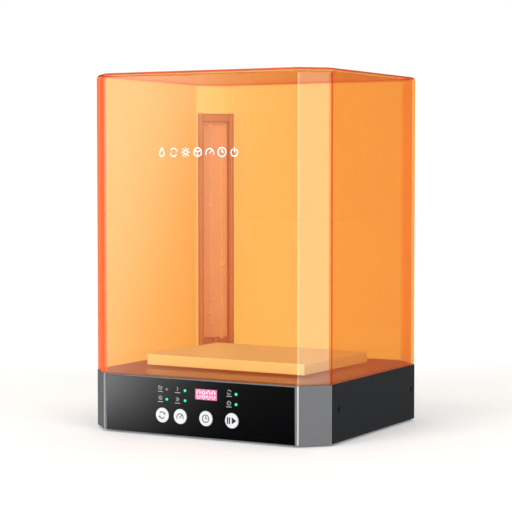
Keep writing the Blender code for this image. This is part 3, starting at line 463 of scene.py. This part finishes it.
# Printed marks
class Print:
    """Flat printed shapes on a plane, u to the right and v up. They stand out to its -Y side."""

    def __init__(self):
        self.bm = bmesh.new()

    def shape(self, points):
        back = [self.bm.verts.new((u, 0, v)) for u, v in points]
        front = [self.bm.verts.new((u, -PRINT_THICK, v)) for u, v in points]
        self.bm.faces.new(back)
        self.bm.faces.new(front[::-1])
        for i in range(len(points)):
            j = (i + 1) % len(points)
            self.bm.faces.new((back[i], back[j], front[j], front[i]))

    def bar(self, a, b, width):
        a, b = Vector(a), Vector(b)
        side = (b - a).normalized().orthogonal() * width / 2
        self.shape([a + side, b + side, b - side, a - side])

    def disc(self, centre, radius, sides=24):
        angles = [2 * math.pi * i / sides for i in range(sides)]
        self.shape([(centre[0] + radius * math.cos(t), centre[1] + radius * math.sin(t)) for t in angles])

    def arc(self, centre, radius, start, end, width, steps=20):
        """Part of a circle. Angles are in degrees, and it runs from start to end."""
        angles = [math.radians(start + (end - start) * i / steps) for i in range(steps + 1)]
        for t, u in zip(angles, angles[1:]):
            corners = ((radius + width / 2, t), (radius + width / 2, u), (radius - width / 2, u),
                       (radius - width / 2, t))
            self.shape([(centre[0] + r * math.cos(x), centre[1] + r * math.sin(x)) for r, x in corners])

    def arrow(self, tip, direction, size):
        """A solid triangle whose tip points along a direction in degrees."""
        t = math.radians(direction)
        tip, along = Vector(tip), Vector((math.cos(t), math.sin(t)))
        side = Vector((-along.y, along.x)) * size * 0.6
        self.shape([tip, tip - along * size + side, tip - along * size - side])


def draw_drop(p, u, v, s, w):
    p.arc((u, v - 0.25 * s), 0.55 * s, -205, 25, w)
    p.bar((u - 0.50 * s, v - 0.02 * s), (u, v + s), w)
    p.bar((u + 0.50 * s, v - 0.02 * s), (u, v + s), w)


def draw_sun(p, u, v, s, w):
    p.arc((u, v), 0.42 * s, 0, 360, w)
    for i in range(8):
        t = math.radians(45 * i)
        x, y = s * math.cos(t), s * math.sin(t)
        p.bar((u + 0.68 * x, v + 0.68 * y), (u + x, v + y), w)


def draw_clock(p, u, v, s, w):
    p.arc((u, v), 0.9 * s, 0, 360, w, steps=32)
    p.bar((u, v), (u, v + 0.62 * s), w)
    p.bar((u, v), (u + 0.45 * s, v), w)


def draw_gauge(p, u, v, s, w):
    p.arc((u, v - 0.2 * s), 0.9 * s, -20, 200, w)
    p.bar((u, v - 0.2 * s), (u + 0.5 * s, v + 0.35 * s), w)
    p.disc((u, v - 0.2 * s), 0.16 * s, 12)


def draw_cycle(p, u, v, s, w):
    for start in (20, 200):
        p.arc((u, v), 0.8 * s, start, start + 125, w)
        t = math.radians(start)
        p.arrow((u + 0.8 * s * math.cos(t) + 0.25 * s * math.sin(t), v + 0.8 * s * math.sin(t)
                 - 0.25 * s * math.cos(t)), start - 90, 0.5 * s)


def draw_run(p, u, v, s, w):
    for i in range(2):
        x = u - 0.85 * s + i * 0.42 * s
        p.bar((x, v - 0.62 * s), (x, v + 0.62 * s), w * 1.5)
    p.shape([(u + 0.05 * s, v - 0.66 * s), (u + s, v), (u + 0.05 * s, v + 0.66 * s)])


def draw_cube(p, u, v, s, w):
    ends = [(u + 0.95 * s * math.sin(math.radians(60 * i)), v + 0.95 * s * math.cos(math.radians(60 * i)))
            for i in range(6)]
    for a, b in zip(ends, ends[1:] + ends[:1]):
        p.bar(a, b, w)
    for i in (1, 3, 5):
        p.bar((u, v), ends[i], w)


def draw_power(p, u, v, s, w):
    p.arc((u, v - 0.1 * s), 0.75 * s, 120, 420, w)
    p.bar((u, v), (u, v + 0.95 * s), w)


def draw_chevrons(p, u, v, s, w, count=2):
    for i in range(count):
        x = u + (i - (count - 1) / 2) * 0.7 * s
        p.bar((x - 0.3 * s, v + 0.7 * s), (x + 0.3 * s, v), w)
        p.bar((x - 0.3 * s, v - 0.7 * s), (x + 0.3 * s, v), w)


def draw_slow(p, u, v, s, w):
    draw_chevrons(p, u, v, s, w, count=1)


def draw_basket(p, u, v, s, w):
    p.bar((u - 0.9 * s, v + 0.5 * s), (u - 0.6 * s, v - 0.7 * s), w)
    p.bar((u + 0.9 * s, v + 0.5 * s), (u + 0.6 * s, v - 0.7 * s), w)
    p.bar((u - 0.6 * s, v - 0.7 * s), (u + 0.6 * s, v - 0.7 * s), w)
    p.arc((u - 0.45 * s, v + 0.35 * s), 0.3 * s, 0, 180, w, 8)
    p.arc((u + 0.15 * s, v + 0.35 * s), 0.3 * s, 180, 360, w, 8)


SEGMENTS = {"0": "abcdef", "8": "abcdefg"}


def draw_digit(p, digit, u, v, high, width):
    """A seven-segment digit, its middle at (u, v)."""
    half_x, half = 0.2 * high, high / 2
    spots = {"a": (0, half, 0), "g": (0, 0, 0), "d": (0, -half, 0), "f": (-half_x, half / 2, 1),
             "b": (half_x, half / 2, 1), "e": (-half_x, -half / 2, 1), "c": (half_x, -half / 2, 1)}
    for letter in SEGMENTS[digit]:
        x, y, upright = spots[letter]
        reach = (half / 2 if upright else half_x) - 0.6 * width
        ends = ((-reach, 0), (-reach + width / 2, width / 2), (reach - width / 2, width / 2), (reach, 0),
                (reach - width / 2, -width / 2), (-reach + width / 2, -width / 2))
        p.shape([(u + x + (b if upright else a), v + y + (a if upright else b)) for a, b in ends])


# Hood
HOOD_INSET, HOOD_INSIDE = 0.0004, 0.0034  # from the base's outline to the sheet's two sides
INNER_BEND = 0.0016
MARKS_LEFT, MARKS_PITCH, MARKS_HEIGHT, PRINT_SINK = -0.0385, 0.0129, 0.2654, 0.00002
BEND_SHADE_TURN = 9  # a face turned this far from the nearest of the eight sides is in a bend; the bends beside the side walls take the deeper tint of painted shade


def make_hood():
    shell = prism(HOOD_INSET, BASE_TOP + GAP, TOP, bend=HOOD_BEND, segments=10, crown=CROWN)
    inside = prism(HOOD_INSIDE, 0, TOP - WALL, bend=HOOD_INSIDE + INNER_BEND, segments=6, crown=INNER_BEND,
                   crown_segments=4)
    hood = piece("hood_acrylic", carve(shell, inside), "hood", "hood", ("cover_hood",))
    for finish in ("hood_bend_shade", "hood_corners", "hood_roof"):
        hood.data.materials.append(FINISHES[finish])
    # Index 1: bends beside the side walls and the crown's edge, tinted deeper as painted shade; 2: the
    # front chamfers; 3: the roof.
    for face in hood.data.polygons:
        across, up = abs(face.normal.y), abs(face.normal.z)
        in_front = face.center.y < 0 and up < 0.1
        if (in_front and side_turn(face) > BEND_SHADE_TURN and across < 0.7) or 0.5 < face.normal.z < 0.98:
            face.material_index = 1
        elif in_front and 0.6 < across < 0.95:
            face.material_index = 2
        elif up > 0.9:
            face.material_index = 3
    marks = Print()
    drawings = (draw_drop, draw_cycle, draw_sun, draw_cube, draw_gauge, draw_clock, draw_power)
    for i, draw in enumerate(drawings):
        draw(marks, MARKS_LEFT + i * MARKS_PITCH, 0, 0.0046, 0.0010)
    face = Matrix.Translation((0, FRONT + HOOD_INSET - PRINT_SINK, MARKS_HEIGHT))
    piece("hood_marks", marks.bm, "print_white", "hood", at=face)


def side_turn(face):
    """How many degrees a face is turned about Z from the nearest of the eight sides."""
    turn = math.degrees(math.atan2(face.normal.y, face.normal.x)) % 45
    return min(turn, 45 - turn)


# Base
VENTS, VENT_LEFT, VENT_PITCH = 9, -0.0837, 0.0068
HIGHLIGHT_EDGE_TURN = 6  # a face turned this far from the nearest of the eight sides is on a bend, which gets a lighter finish as a painted highlight


def make_base():
    shell = carve(prism(0, FOOT, BASE_TOP), prism(WALL, 0, BASE_TOP + WALL))
    shell = carve(shell, block((-1, -1, 0), (1, SEAM_Y + GAP, 1)))
    tools = bmesh.new()
    seat = ((0, 0.001), (0.0031, 0.001), (0.0031, -0.0017), (0.0018, -0.0017), (0.0018, -0.01), (0, -0.01))
    for sign in (-1, 1):
        for y in SCREW_YS:
            turned(seat, 32, aimed((sign * HALF_X, y, SCREW_Z), (sign, 0, 0)), tools)
    for i in range(VENTS):
        slot = stadium(VENT_LEFT + i * VENT_PITCH, REAR_Z, 0.0013, 0.0087)
        vent = extruded(slot, -REAR - WALL, 2 * WALL - REAR)
        vent.transform(Matrix.Rotation(math.pi / 2, 4, "X"))
        merge(tools, vent)
    turned(pin(0.0055, -0.01, 0.01), 40, aimed((INLET_X, REAR, REAR_Z), (0, 1, 0)), tools)
    block((SWITCH_X - 0.0098, REAR - 2 * WALL, REAR_Z - 0.0068),
          (SWITCH_X + 0.0098, REAR + WALL, REAR_Z + 0.0068), tools)
    piece("shell", carve(shell, tools), "dark_shell", replaces=("base_shell",),
          bevel=0.0003)

    front = carve(prism(0, FOOT, BASE_TOP), prism(WALL, 0, BASE_TOP + WALL))
    front = carve(front, block((-1, SEAM_Y, 0), (1, 1, 1)))
    front = carve(front, block((-PANEL_HALF - GAP, FRONT - WALL, 0),
                               (PANEL_HALF + GAP, FRONT + PANEL_THICK + GAP, PANEL_TOP + GAP)))
    opening = block((-0.0485, FRONT - WALL, 0.0100), (0.0485, FRONT + 2 * WALL, 0.0515))
    front = carve(front, opening)  # the keys and lights reach the control board through it
    rim = piece("frame", front, "frame_grey", replaces=("front_frame",), bevel=0.00045)
    rim.data.materials.append(FINISHES["frame_edge_highlight"])
    for face in rim.data.polygons:
        if side_turn(face) > HIGHLIGHT_EDGE_TURN and abs(face.normal.z) < 0.5:
            face.material_index = 1


def make_panel():
    tools = bmesh.new()
    for x in BUTTONS.values():
        turned(pin(BUTTON_R + 0.0002, -0.004, 0.004), 64, aimed((x, FRONT, BUTTON_Z), (0, 1, 0)), tools)
    for x in GUIDES.values():
        for z in GUIDE_ZS:
            turned(pin(GUIDE_R + 0.0002, -0.004, 0.004), 24, aimed((x, FRONT, z), (0, 1, 0)), tools)
    half_x, half_z = DISPLAY_WIDE / 2 + 0.0001, DISPLAY_HIGH / 2 + 0.0001
    block((DISPLAY_X - half_x, FRONT - WALL, DISPLAY_Z - half_z),
          (DISPLAY_X + half_x, FRONT + WALL, DISPLAY_Z + half_z), tools)
    sheet = carve(block((-PANEL_HALF, FRONT, FOOT), (PANEL_HALF, FRONT + PANEL_THICK, PANEL_TOP)), tools)
    piece("panel", sheet, "panel_black", replaces=("front_panel",), bevel=0.00018)

    labels = Print()
    drawings = {"wash": draw_basket, "cure": draw_sun, "slow": draw_slow, "fast": draw_chevrons,
                "turn": draw_cycle, "power": draw_power}
    for name, (x, z) in LABEL_SPOTS.items():
        drawings[name](labels, x, z + 0.0008, 0.0024, 0.00055)
        labels.bar((x - 0.0028, z - 0.0029), (x + 0.0028, z - 0.0029), 0.0006)
    piece("panel_labels", labels.bm, "print_pale",
          at=Matrix.Translation((0, FRONT - 0.00001, 0)))


def make_buttons():
    top = PROUD - PRINT_THICK
    cap = [(0, top)]
    rim = 0.0005
    for i in range(7):
        t = math.radians(90 - 15 * i)
        cap.append((BUTTON_R - rim + rim * math.cos(t), top - rim + rim * math.sin(t)))
    cap += [(BUTTON_R, -0.0018), (0.0086, -0.0018), (0.0086, -0.0030), (0.0030, -0.0030), (0.0030, -0.0033),
            (0, -0.0033)]
    drawings = {"mode": draw_cycle, "speed": draw_gauge, "time": draw_clock, "start_pause": draw_run}
    for name, x in BUTTONS.items():
        body = name + "_key"
        bm = turned(cap, 64, aimed((x, FRONT, BUTTON_Z), (0, -1, 0)))
        piece(name + "_cap", bm, "key_white", body, (name + "_button",))
        mark = Print()
        bold = name == "start_pause"
        drawings[name](mark, x, BUTTON_Z, 0.0050 if bold else 0.0038, 0.0009)
        piece(name + "_mark", mark.bm, "print_black" if bold else "print_grey", body,
              at=Matrix.Translation((0, FRONT - top, 0)))


def make_indicators():
    for name, x in GUIDES.items():
        for z, level in zip(GUIDE_ZS, ("upper", "lower")):
            dome = [(GUIDE_R * math.sin(math.radians(15 * i)), 0.0005 * math.cos(math.radians(15 * i)))
                    for i in range(7)]
            dome += [(GUIDE_R, -0.0014), (0, -0.0014)]
            lit = (name, level) != ("mode", "upper")
            bm = turned(dome, 24, aimed((x, FRONT, z), (0, -1, 0)))
            piece(f"{name}_{level}_lens", bm, "lamp_green" if lit else "lamp_off")


def make_display():
    half_x, half_z = DISPLAY_WIDE / 2 - 0.0001, DISPLAY_HIGH / 2 - 0.0001
    glass = rounded_block((DISPLAY_X - half_x, FRONT, DISPLAY_Z - half_z),
                          (DISPLAY_X + half_x, FRONT + PANEL_THICK, DISPLAY_Z + half_z), 0.00015, 2)
    piece("display_glass", glass, "display_pink", replaces=("display_window",))
    digits = Print()
    for i, digit in enumerate("0800"):
        draw_digit(digits, digit, DISPLAY_X + (i - 1.5) * 0.0053, DISPLAY_Z, 0.0074, 0.0009)
    piece("display_digits", digits.bm, "digit_white",
          at=Matrix.Translation((0, FRONT - 0.00001, 0)))


# Turntable
def make_turntable():
    turn = Matrix.Rotation(SLAB_TURN, 4, "Z")
    slab = rounded_block((-SLAB_HALF_X, -SLAB_HALF_Y, SLAB_LOW), (SLAB_HALF_X, SLAB_HALF_Y, SLAB_TOP),
                         0.0009, 4)
    socket = block((-0.0264, -0.0264, 0), (0.0264, 0.0264, 0.0673))
    piece("platform_slab", carve(slab, socket), "slab_white", "platform",
          ("turntable_platform",), at=turn)
    refined("turntable_hub", "black_plastic")
    bush = turned(ring(0.00405, 0.0060, 0.0596, 0.0664), 48, closed=True)
    piece("bush", bush, "brass", "turntable", ("pivot_bush",), bevel=0.0002)
    magnet = turned(ring(0.0133, 0.0227, 0.0597, 0.0625), 48, closed=True)
    piece("follower_ring", magnet, "magnet", "turntable", ("follower_magnet",), bevel=0.0003)
    spindle = ((0, 0.0660), (0.0035, 0.0660), (0.0040, 0.0655), (0.0040, 0.0584), (0.0120, 0.0584),
               (0.0120, 0.0572), (0.0030, 0.0572), (0.0030, 0.0502), (0, 0.0502))
    piece("spindle", turned(spindle, 48), "steel", replaces=("turntable_spindle",),
          bevel=0.0001)


# Lamp column
CHIP_THICK = 0.0008


def on_column():
    """Puts a shape, drawn with the column facing -Y, in its rear corner."""
    return Matrix.Rotation(COLUMN_TURN, 4, "Z") @ Matrix.Translation((COLUMN_SIDE, COLUMN_FRONT, 0))


def channel_outline(steps=12):
    """The column's section: an open channel with round lips and two cut rear corners."""
    half, tip, rear_cut = COLUMN_WIDE / 2, FLANGE / 2, 0.0025
    points = []
    for centre in (-half + tip, half - tip):
        for i in range(steps + 1):
            angle = math.pi * (1 - i / steps)
            points.append((centre + tip * math.cos(angle), tip - tip * math.sin(angle)))
        if centre < 0:
            points += [(-half + FLANGE, COLUMN_DEEP - WEB), (half - FLANGE, COLUMN_DEEP - WEB)]
    return points + [(half, COLUMN_DEEP - rear_cut), (half - rear_cut, COLUMN_DEEP),
                     (rear_cut - half, COLUMN_DEEP), (-half, COLUMN_DEEP - rear_cut)]


def extruded(points, low, high):
    """A flat outline in x and y, drawn up from low to high."""
    bm = bmesh.new()
    bottom = [bm.verts.new((x, y, low)) for x, y in points]
    top = [bm.verts.new((x, y, high)) for x, y in points]
    bm.faces.new(bottom)
    bm.faces.new(top[::-1])
    for i in range(len(points)):
        j = (i + 1) % len(points)
        bm.faces.new((bottom[i], bottom[j], top[j], top[i]))
    return bm


def cross_recess(at, axis, size, deep):
    """Two crossed slots, sunk along an axis, for a screw head."""
    slim, clear = size * 0.26, 0.002
    tool = block((-size, -slim, -deep), (size, slim, clear))
    other = block((-slim, -size, -deep), (slim, size, clear))
    tool.transform(aimed(at, axis))
    other.transform(aimed(at, axis))
    return tool, other


def screw_head(name, at, axis, profile, recess, deep, finish, replaces=(), place=None):
    """A screw turned from its profile, with a crossed recess in its head."""
    bm = turned(profile, 32, aimed(at, axis))
    top = Vector(at) + Vector(axis) * profile[0][1]
    for tool in cross_recess(top, axis, recess, deep):
        bm = carve(bm, tool)
    return piece(name, bm, finish, replaces=replaces, at=place)


def make_column():
    place = on_column()
    profile = extruded(channel_outline(), 0.0572, COLUMN_TOP)
    piece("column_profile", profile, "column_metal", replaces=("lamp_column",),
          bevel=0.0002, at=place)
    inner = COLUMN_WIDE / 2 - FLANGE - GAP
    board = block((-BOARD_HALF, BOARD_FRONT, BOARD_LOW), (BOARD_HALF, BOARD_BACK, BOARD_HIGH))
    piece("lamp_strip", board, "board_white_painted_lamp_light", replaces=("lamp_board",), bevel=0.0001,
          at=place)
    chips, lenses, traces = bmesh.new(), bmesh.new(), Print()
    for x, top in LED_COLUMNS:
        for row in range(LED_ROWS):
            z = top - row * LED_PITCH
            block((x - 0.0015, BOARD_FRONT - CHIP_THICK, z - 0.0015),
                  (x + 0.0015, BOARD_FRONT, z + 0.0015), chips)
            dome = [(0.0011 * math.sin(math.radians(18 * i)), 0.0006 * math.cos(math.radians(18 * i)))
                    for i in range(6)] + [(0, 0)]
            turned(dome, 20, aimed((x, BOARD_FRONT - CHIP_THICK, z), (0, -1, 0)), lenses)
            if row:
                traces.bar((x, z + 0.0017), (x, z + LED_PITCH - 0.0017), 0.0009)
    piece("lamp_chips", chips, "chip", bevel=0.00015, at=place)
    piece("lamp_lenses", lenses, "lamp_lens", at=place)
    piece("lamp_traces", traces.bm, "trace",
          at=place @ Matrix.Translation((0, BOARD_FRONT, 0)))
    head = ((0, 0.0012), (0.0010, 0.0012), (0.0016, 0.0009), (0.0019, 0.0004), (0.0019, 0), (0.0010, 0),
            (0.0010, -0.0030), (0, -0.0030))
    for i, (x, z) in enumerate(LAMP_SCREWS):
        screw_head(f"lamp_strip_screw_{i + 1}", (x, BOARD_FRONT - 0.0001, z), (0, -1, 0), head, 0.0010,
                   0.0007, "zinc", place=place)
    cap = rounded_block((-inner, 0.0012, COLUMN_TOP - 0.0086), (inner, BOARD_BACK, COLUMN_TOP - 0.0022),
                        0.0005, 3)
    piece("column_cap", cap, "column_metal", replaces=("lamp_top_cap",), at=place)
    refined("lamp_foot", "column_metal", 0.0002)


# Screws, feet and the rear
def make_fasteners():
    flush = ((0, -GAP), (0.0025, -GAP), (0.0028, -0.0006), (0.0028, -0.0014), (0.0014, -0.0014),
             (0.0014, -0.0085), (0, -0.0085))
    for side, sign in (("left", -1), ("right", 1)):
        for end, y in zip(("front", "rear"), SCREW_YS):
            screw_head(f"side_screw_head_{side}_{end}", (sign * HALF_X, y, SCREW_Z), (sign, 0, 0), flush,
                       0.0014, 0.0008, "black_steel", (f"side_screw_{side}_{end}",))
    sunk = ((0, -0.0002), (0.0026, -0.0002), (0.0028, -0.0004), (0.0028, -0.0009), (0.0014, -0.0009),
            (0.0014, -0.0120), (0, -0.0120))
    pad = ((0, 0.0017), (PAD_R, 0.0017), (PAD_R, 0.0005), (PAD_R - 0.0002, 0.0001), (PAD_R - 0.0006, 0),
           (0.0050, 0), (0.0046, 0.0003), (0, 0.0003))
    for side, sign in (("left", -1), ("right", 1)):
        for end, sign_y in (("front", -1), ("rear", 1)):
            at = (sign * POST_X, sign_y * POST_Y, FOOT)
            screw_head(f"bottom_screw_head_{side}_{end}", at, (0, 0, -1), sunk, 0.0014, 0.0006,
                       "black_steel", (f"bottom_screw_{side}_{end}",))
            bm = turned(pad, 40, Matrix.Translation((sign * PAD_X, sign_y * PAD_Y, 0)))
            piece(f"pad_{side}_{end}", bm, "rubber", replaces=(f"foot_{side}_{end}",))


def make_rear():
    barrel = ((0, -0.0090), (0.0032, -0.0090), (0.0032, 0.0003), (0.0035, PROUD), (0.0069, PROUD),
              (0.0072, 0.0003), (0.0072, 0.0001), (0.0052, 0.0001), (0.0052, -0.0130), (0, -0.0130))
    at_inlet = aimed((INLET_X, REAR, REAR_Z), (0, 1, 0))
    piece("inlet_barrel", turned(barrel, 48, at_inlet), "black_plastic",
          replaces=("dc_inlet",))
    contact = ((0, -0.0008), (0.0006, -0.0008), (0.0010, -0.0013), (0.0010, -0.0095), (0, -0.0095))
    piece("inlet_contact", turned(contact, 24, at_inlet), "brass")
    refined("switch_housing", "black_plastic", 0.0003)
    refined("power_rocker", "black_plastic")


def dress_inside():
    """The pieces that the base hides keep the frame's shapes, with finishes of their own."""
    refined("bottom_plate", "black_steel", 0.0003)
    refined("deck_plate", "deck_gloss", 0.0003)
    finishes = {"control_board": "board_green", "main_board": "board_green",
                "display_module": "black_plastic", "magnet_carrier": "black_plastic",
                "drive_magnet": "magnet", "motor_shaft": "steel", "drive_motor": "steel",
                "motor_bracket": "column_metal", "spindle_nut": "steel"}
    for name, finish in finishes.items():
        dress(name, finish)
    for name in nodes:
        if name.endswith("_lead"):
            dress(name, "lead_grey")
        elif name.endswith("_light_guide"):
            dress(name, "lamp_off")
        elif name.startswith(("board_screw", "bracket_screw", "motor_screw", "lamp_mount_screw")):
            dress(name, "steel")


def dress(name, finish):
    """Gives a frame node a finish, without a finer copy."""
    for slot in nodes[name].material_slots:
        slot.material = FINISHES[finish]


# Studio
FLOOR_HALF, FLOOR_DROP = 6, 0.0002


def make_floor():
    bm = bmesh.new()
    bmesh.ops.create_grid(bm, x_segments=1, y_segments=1, size=FLOOR_HALF)
    mesh = bpy.data.meshes.new("floor")
    bm.to_mesh(mesh)
    bm.free()
    floor = bpy.data.objects.new("floor", mesh)
    floor.location.z = -FLOOR_DROP
    bpy.context.scene.collection.objects.link(floor)
    floor.data.materials.append(surface("floor", (0.96, 0.96, 0.96), 0.75, grain=40, depth=0.01,
                                        Emission_Color=(1, 1, 1, 1), Emission_Strength=0.165))
    floor.visible_glossy = False


WHITE = 1.03  # what the camera sees behind the object
WORLD_SIDE, WORLD_TOP = 1.0, 0.40  # what lights it, from the side and from above
# Compass angle in degrees, with the front at -90, and how bright the ring is there
RING = ((-180, 0.02), (-150, 0.10), (-135, 0.34), (-124, 0.40), (-122.5, 0.28), (-121, 0.13),
        (-119.5, 0.05), (-118, 0.004), (-90, 0.004), (-82, 0.45), (-52, 0.45), (-44, 0.24), (-24, 0.22),
        (-15, 0.02), (20, 0.012), (50, 0.02), (100, 0.02), (145, 0.01), (158, 0.01), (180, 0.02))
RING_GAIN, RING_LEAN = 12.0, 0.3


def make_world():
    """White behind the object, and for gloss a ring of soft boxes with dark gaps between them.

    The ring leans over as it goes up, and ends a little below and above the horizon.
    """
    world = bpy.data.worlds.new("studio")
    bpy.context.scene.world = world
    world.use_nodes = True
    tree = world.node_tree
    background = tree.nodes["Background"]
    path = add(tree, "LightPath")
    place = add(tree, "TexCoord")
    split = add(tree, "SeparateXYZ")
    tree.links.new(place.outputs["Generated"], split.inputs["Vector"])
    turn = maths(tree, "ARCTAN2", split.outputs["Y"], split.outputs["X"])
    turn = maths(tree, "SUBTRACT", turn, maths(tree, "MULTIPLY", split.outputs["Z"], RING_LEAN))
    around = maths(tree, "ADD", maths(tree, "DIVIDE", turn, 2 * math.pi), 0.5)
    ramp = add(tree, "ValToRGB")
    elements = ramp.color_ramp.elements
    for angle, level in RING[1:-1]:
        elements.new((angle + 180) / 360)
    for element, (angle, level) in zip(sorted(elements, key=lambda e: e.position), RING):
        element.position = (angle + 180) / 360
        element.color = (level, level, level, 1)
    tree.links.new(around, ramp.inputs["Fac"])
    low = stretch_range(tree, split.outputs["Z"], (-0.165, -0.125), (0, 1))
    high = stretch_range(tree, split.outputs["Z"], (0.07, 0.12), (1, 0))
    boxes = maths(tree, "MULTIPLY", maths(tree, "MULTIPLY", ramp.outputs["Color"], RING_GAIN),
                  maths(tree, "MULTIPLY", low, high))
    above = stretch_range(tree, split.outputs["Z"], (0.3, 0.7), (0, 0.9))
    gloss = maths(tree, "ADD", boxes, above)
    sky = stretch_range(tree, split.outputs["Z"], (0.1, 0.8), (WORLD_SIDE, WORLD_TOP))
    # a Mix node's factor is input 0, and its plain numbers are inputs 2 and 3
    plain = add(tree, "Mix")
    tree.links.new(path.outputs["Is Camera Ray"], plain.inputs[0])
    tree.links.new(sky, plain.inputs[2])
    plain.inputs[3].default_value = WHITE
    mix = add(tree, "Mix")
    tree.links.new(path.outputs["Is Glossy Ray"], mix.inputs[0])
    tree.links.new(plain.outputs[0], mix.inputs[2])
    tree.links.new(gloss, mix.inputs[3])
    tree.links.new(mix.outputs[0], background.inputs["Strength"])
    background.inputs["Color"].default_value = (1, 1, 1, 1)


def make_light(name, at, strength):
    """A broad soft light from far away, so that it lights the whole floor alike."""
    data = bpy.data.lights.new(name, "SUN")
    data.energy, data.angle = strength, math.radians(35)
    lamp = bpy.data.objects.new(name, data)
    lamp.rotation_euler = Vector(at).to_track_quat("Z", "Y").to_euler()
    lamp.visible_glossy = False
    bpy.context.scene.collection.objects.link(lamp)


def make_studio():
    make_floor()
    make_world()
    make_light("key", (-0.9, -2.6, 0.75), 2.4)
    make_light("fill", (1.8, -0.9, 1.2), 0.8)
    make_light("top", (0.1, 0.3, 2.0), 0.27)
    camera = bpy.data.objects.new("camera", bpy.data.cameras.new("camera"))
    camera.data.lens, camera.data.sensor_width = LENS, SENSOR
    camera.data.clip_start, camera.data.clip_end = 0.05, 30
    camera.location = CAMERA_AT
    camera.rotation_euler = (math.pi / 2 - CAMERA_DOWN, 0, CAMERA_AZIMUTH)
    bpy.context.scene.collection.objects.link(camera)
    bpy.context.scene.camera = camera
    bpy.context.scene.view_settings.view_transform = "Standard"


make_hood()
make_base()
make_panel()
make_buttons()
make_indicators()
make_display()
make_turntable()
make_column()
make_fasteners()
make_rear()
dress_inside()
make_studio()
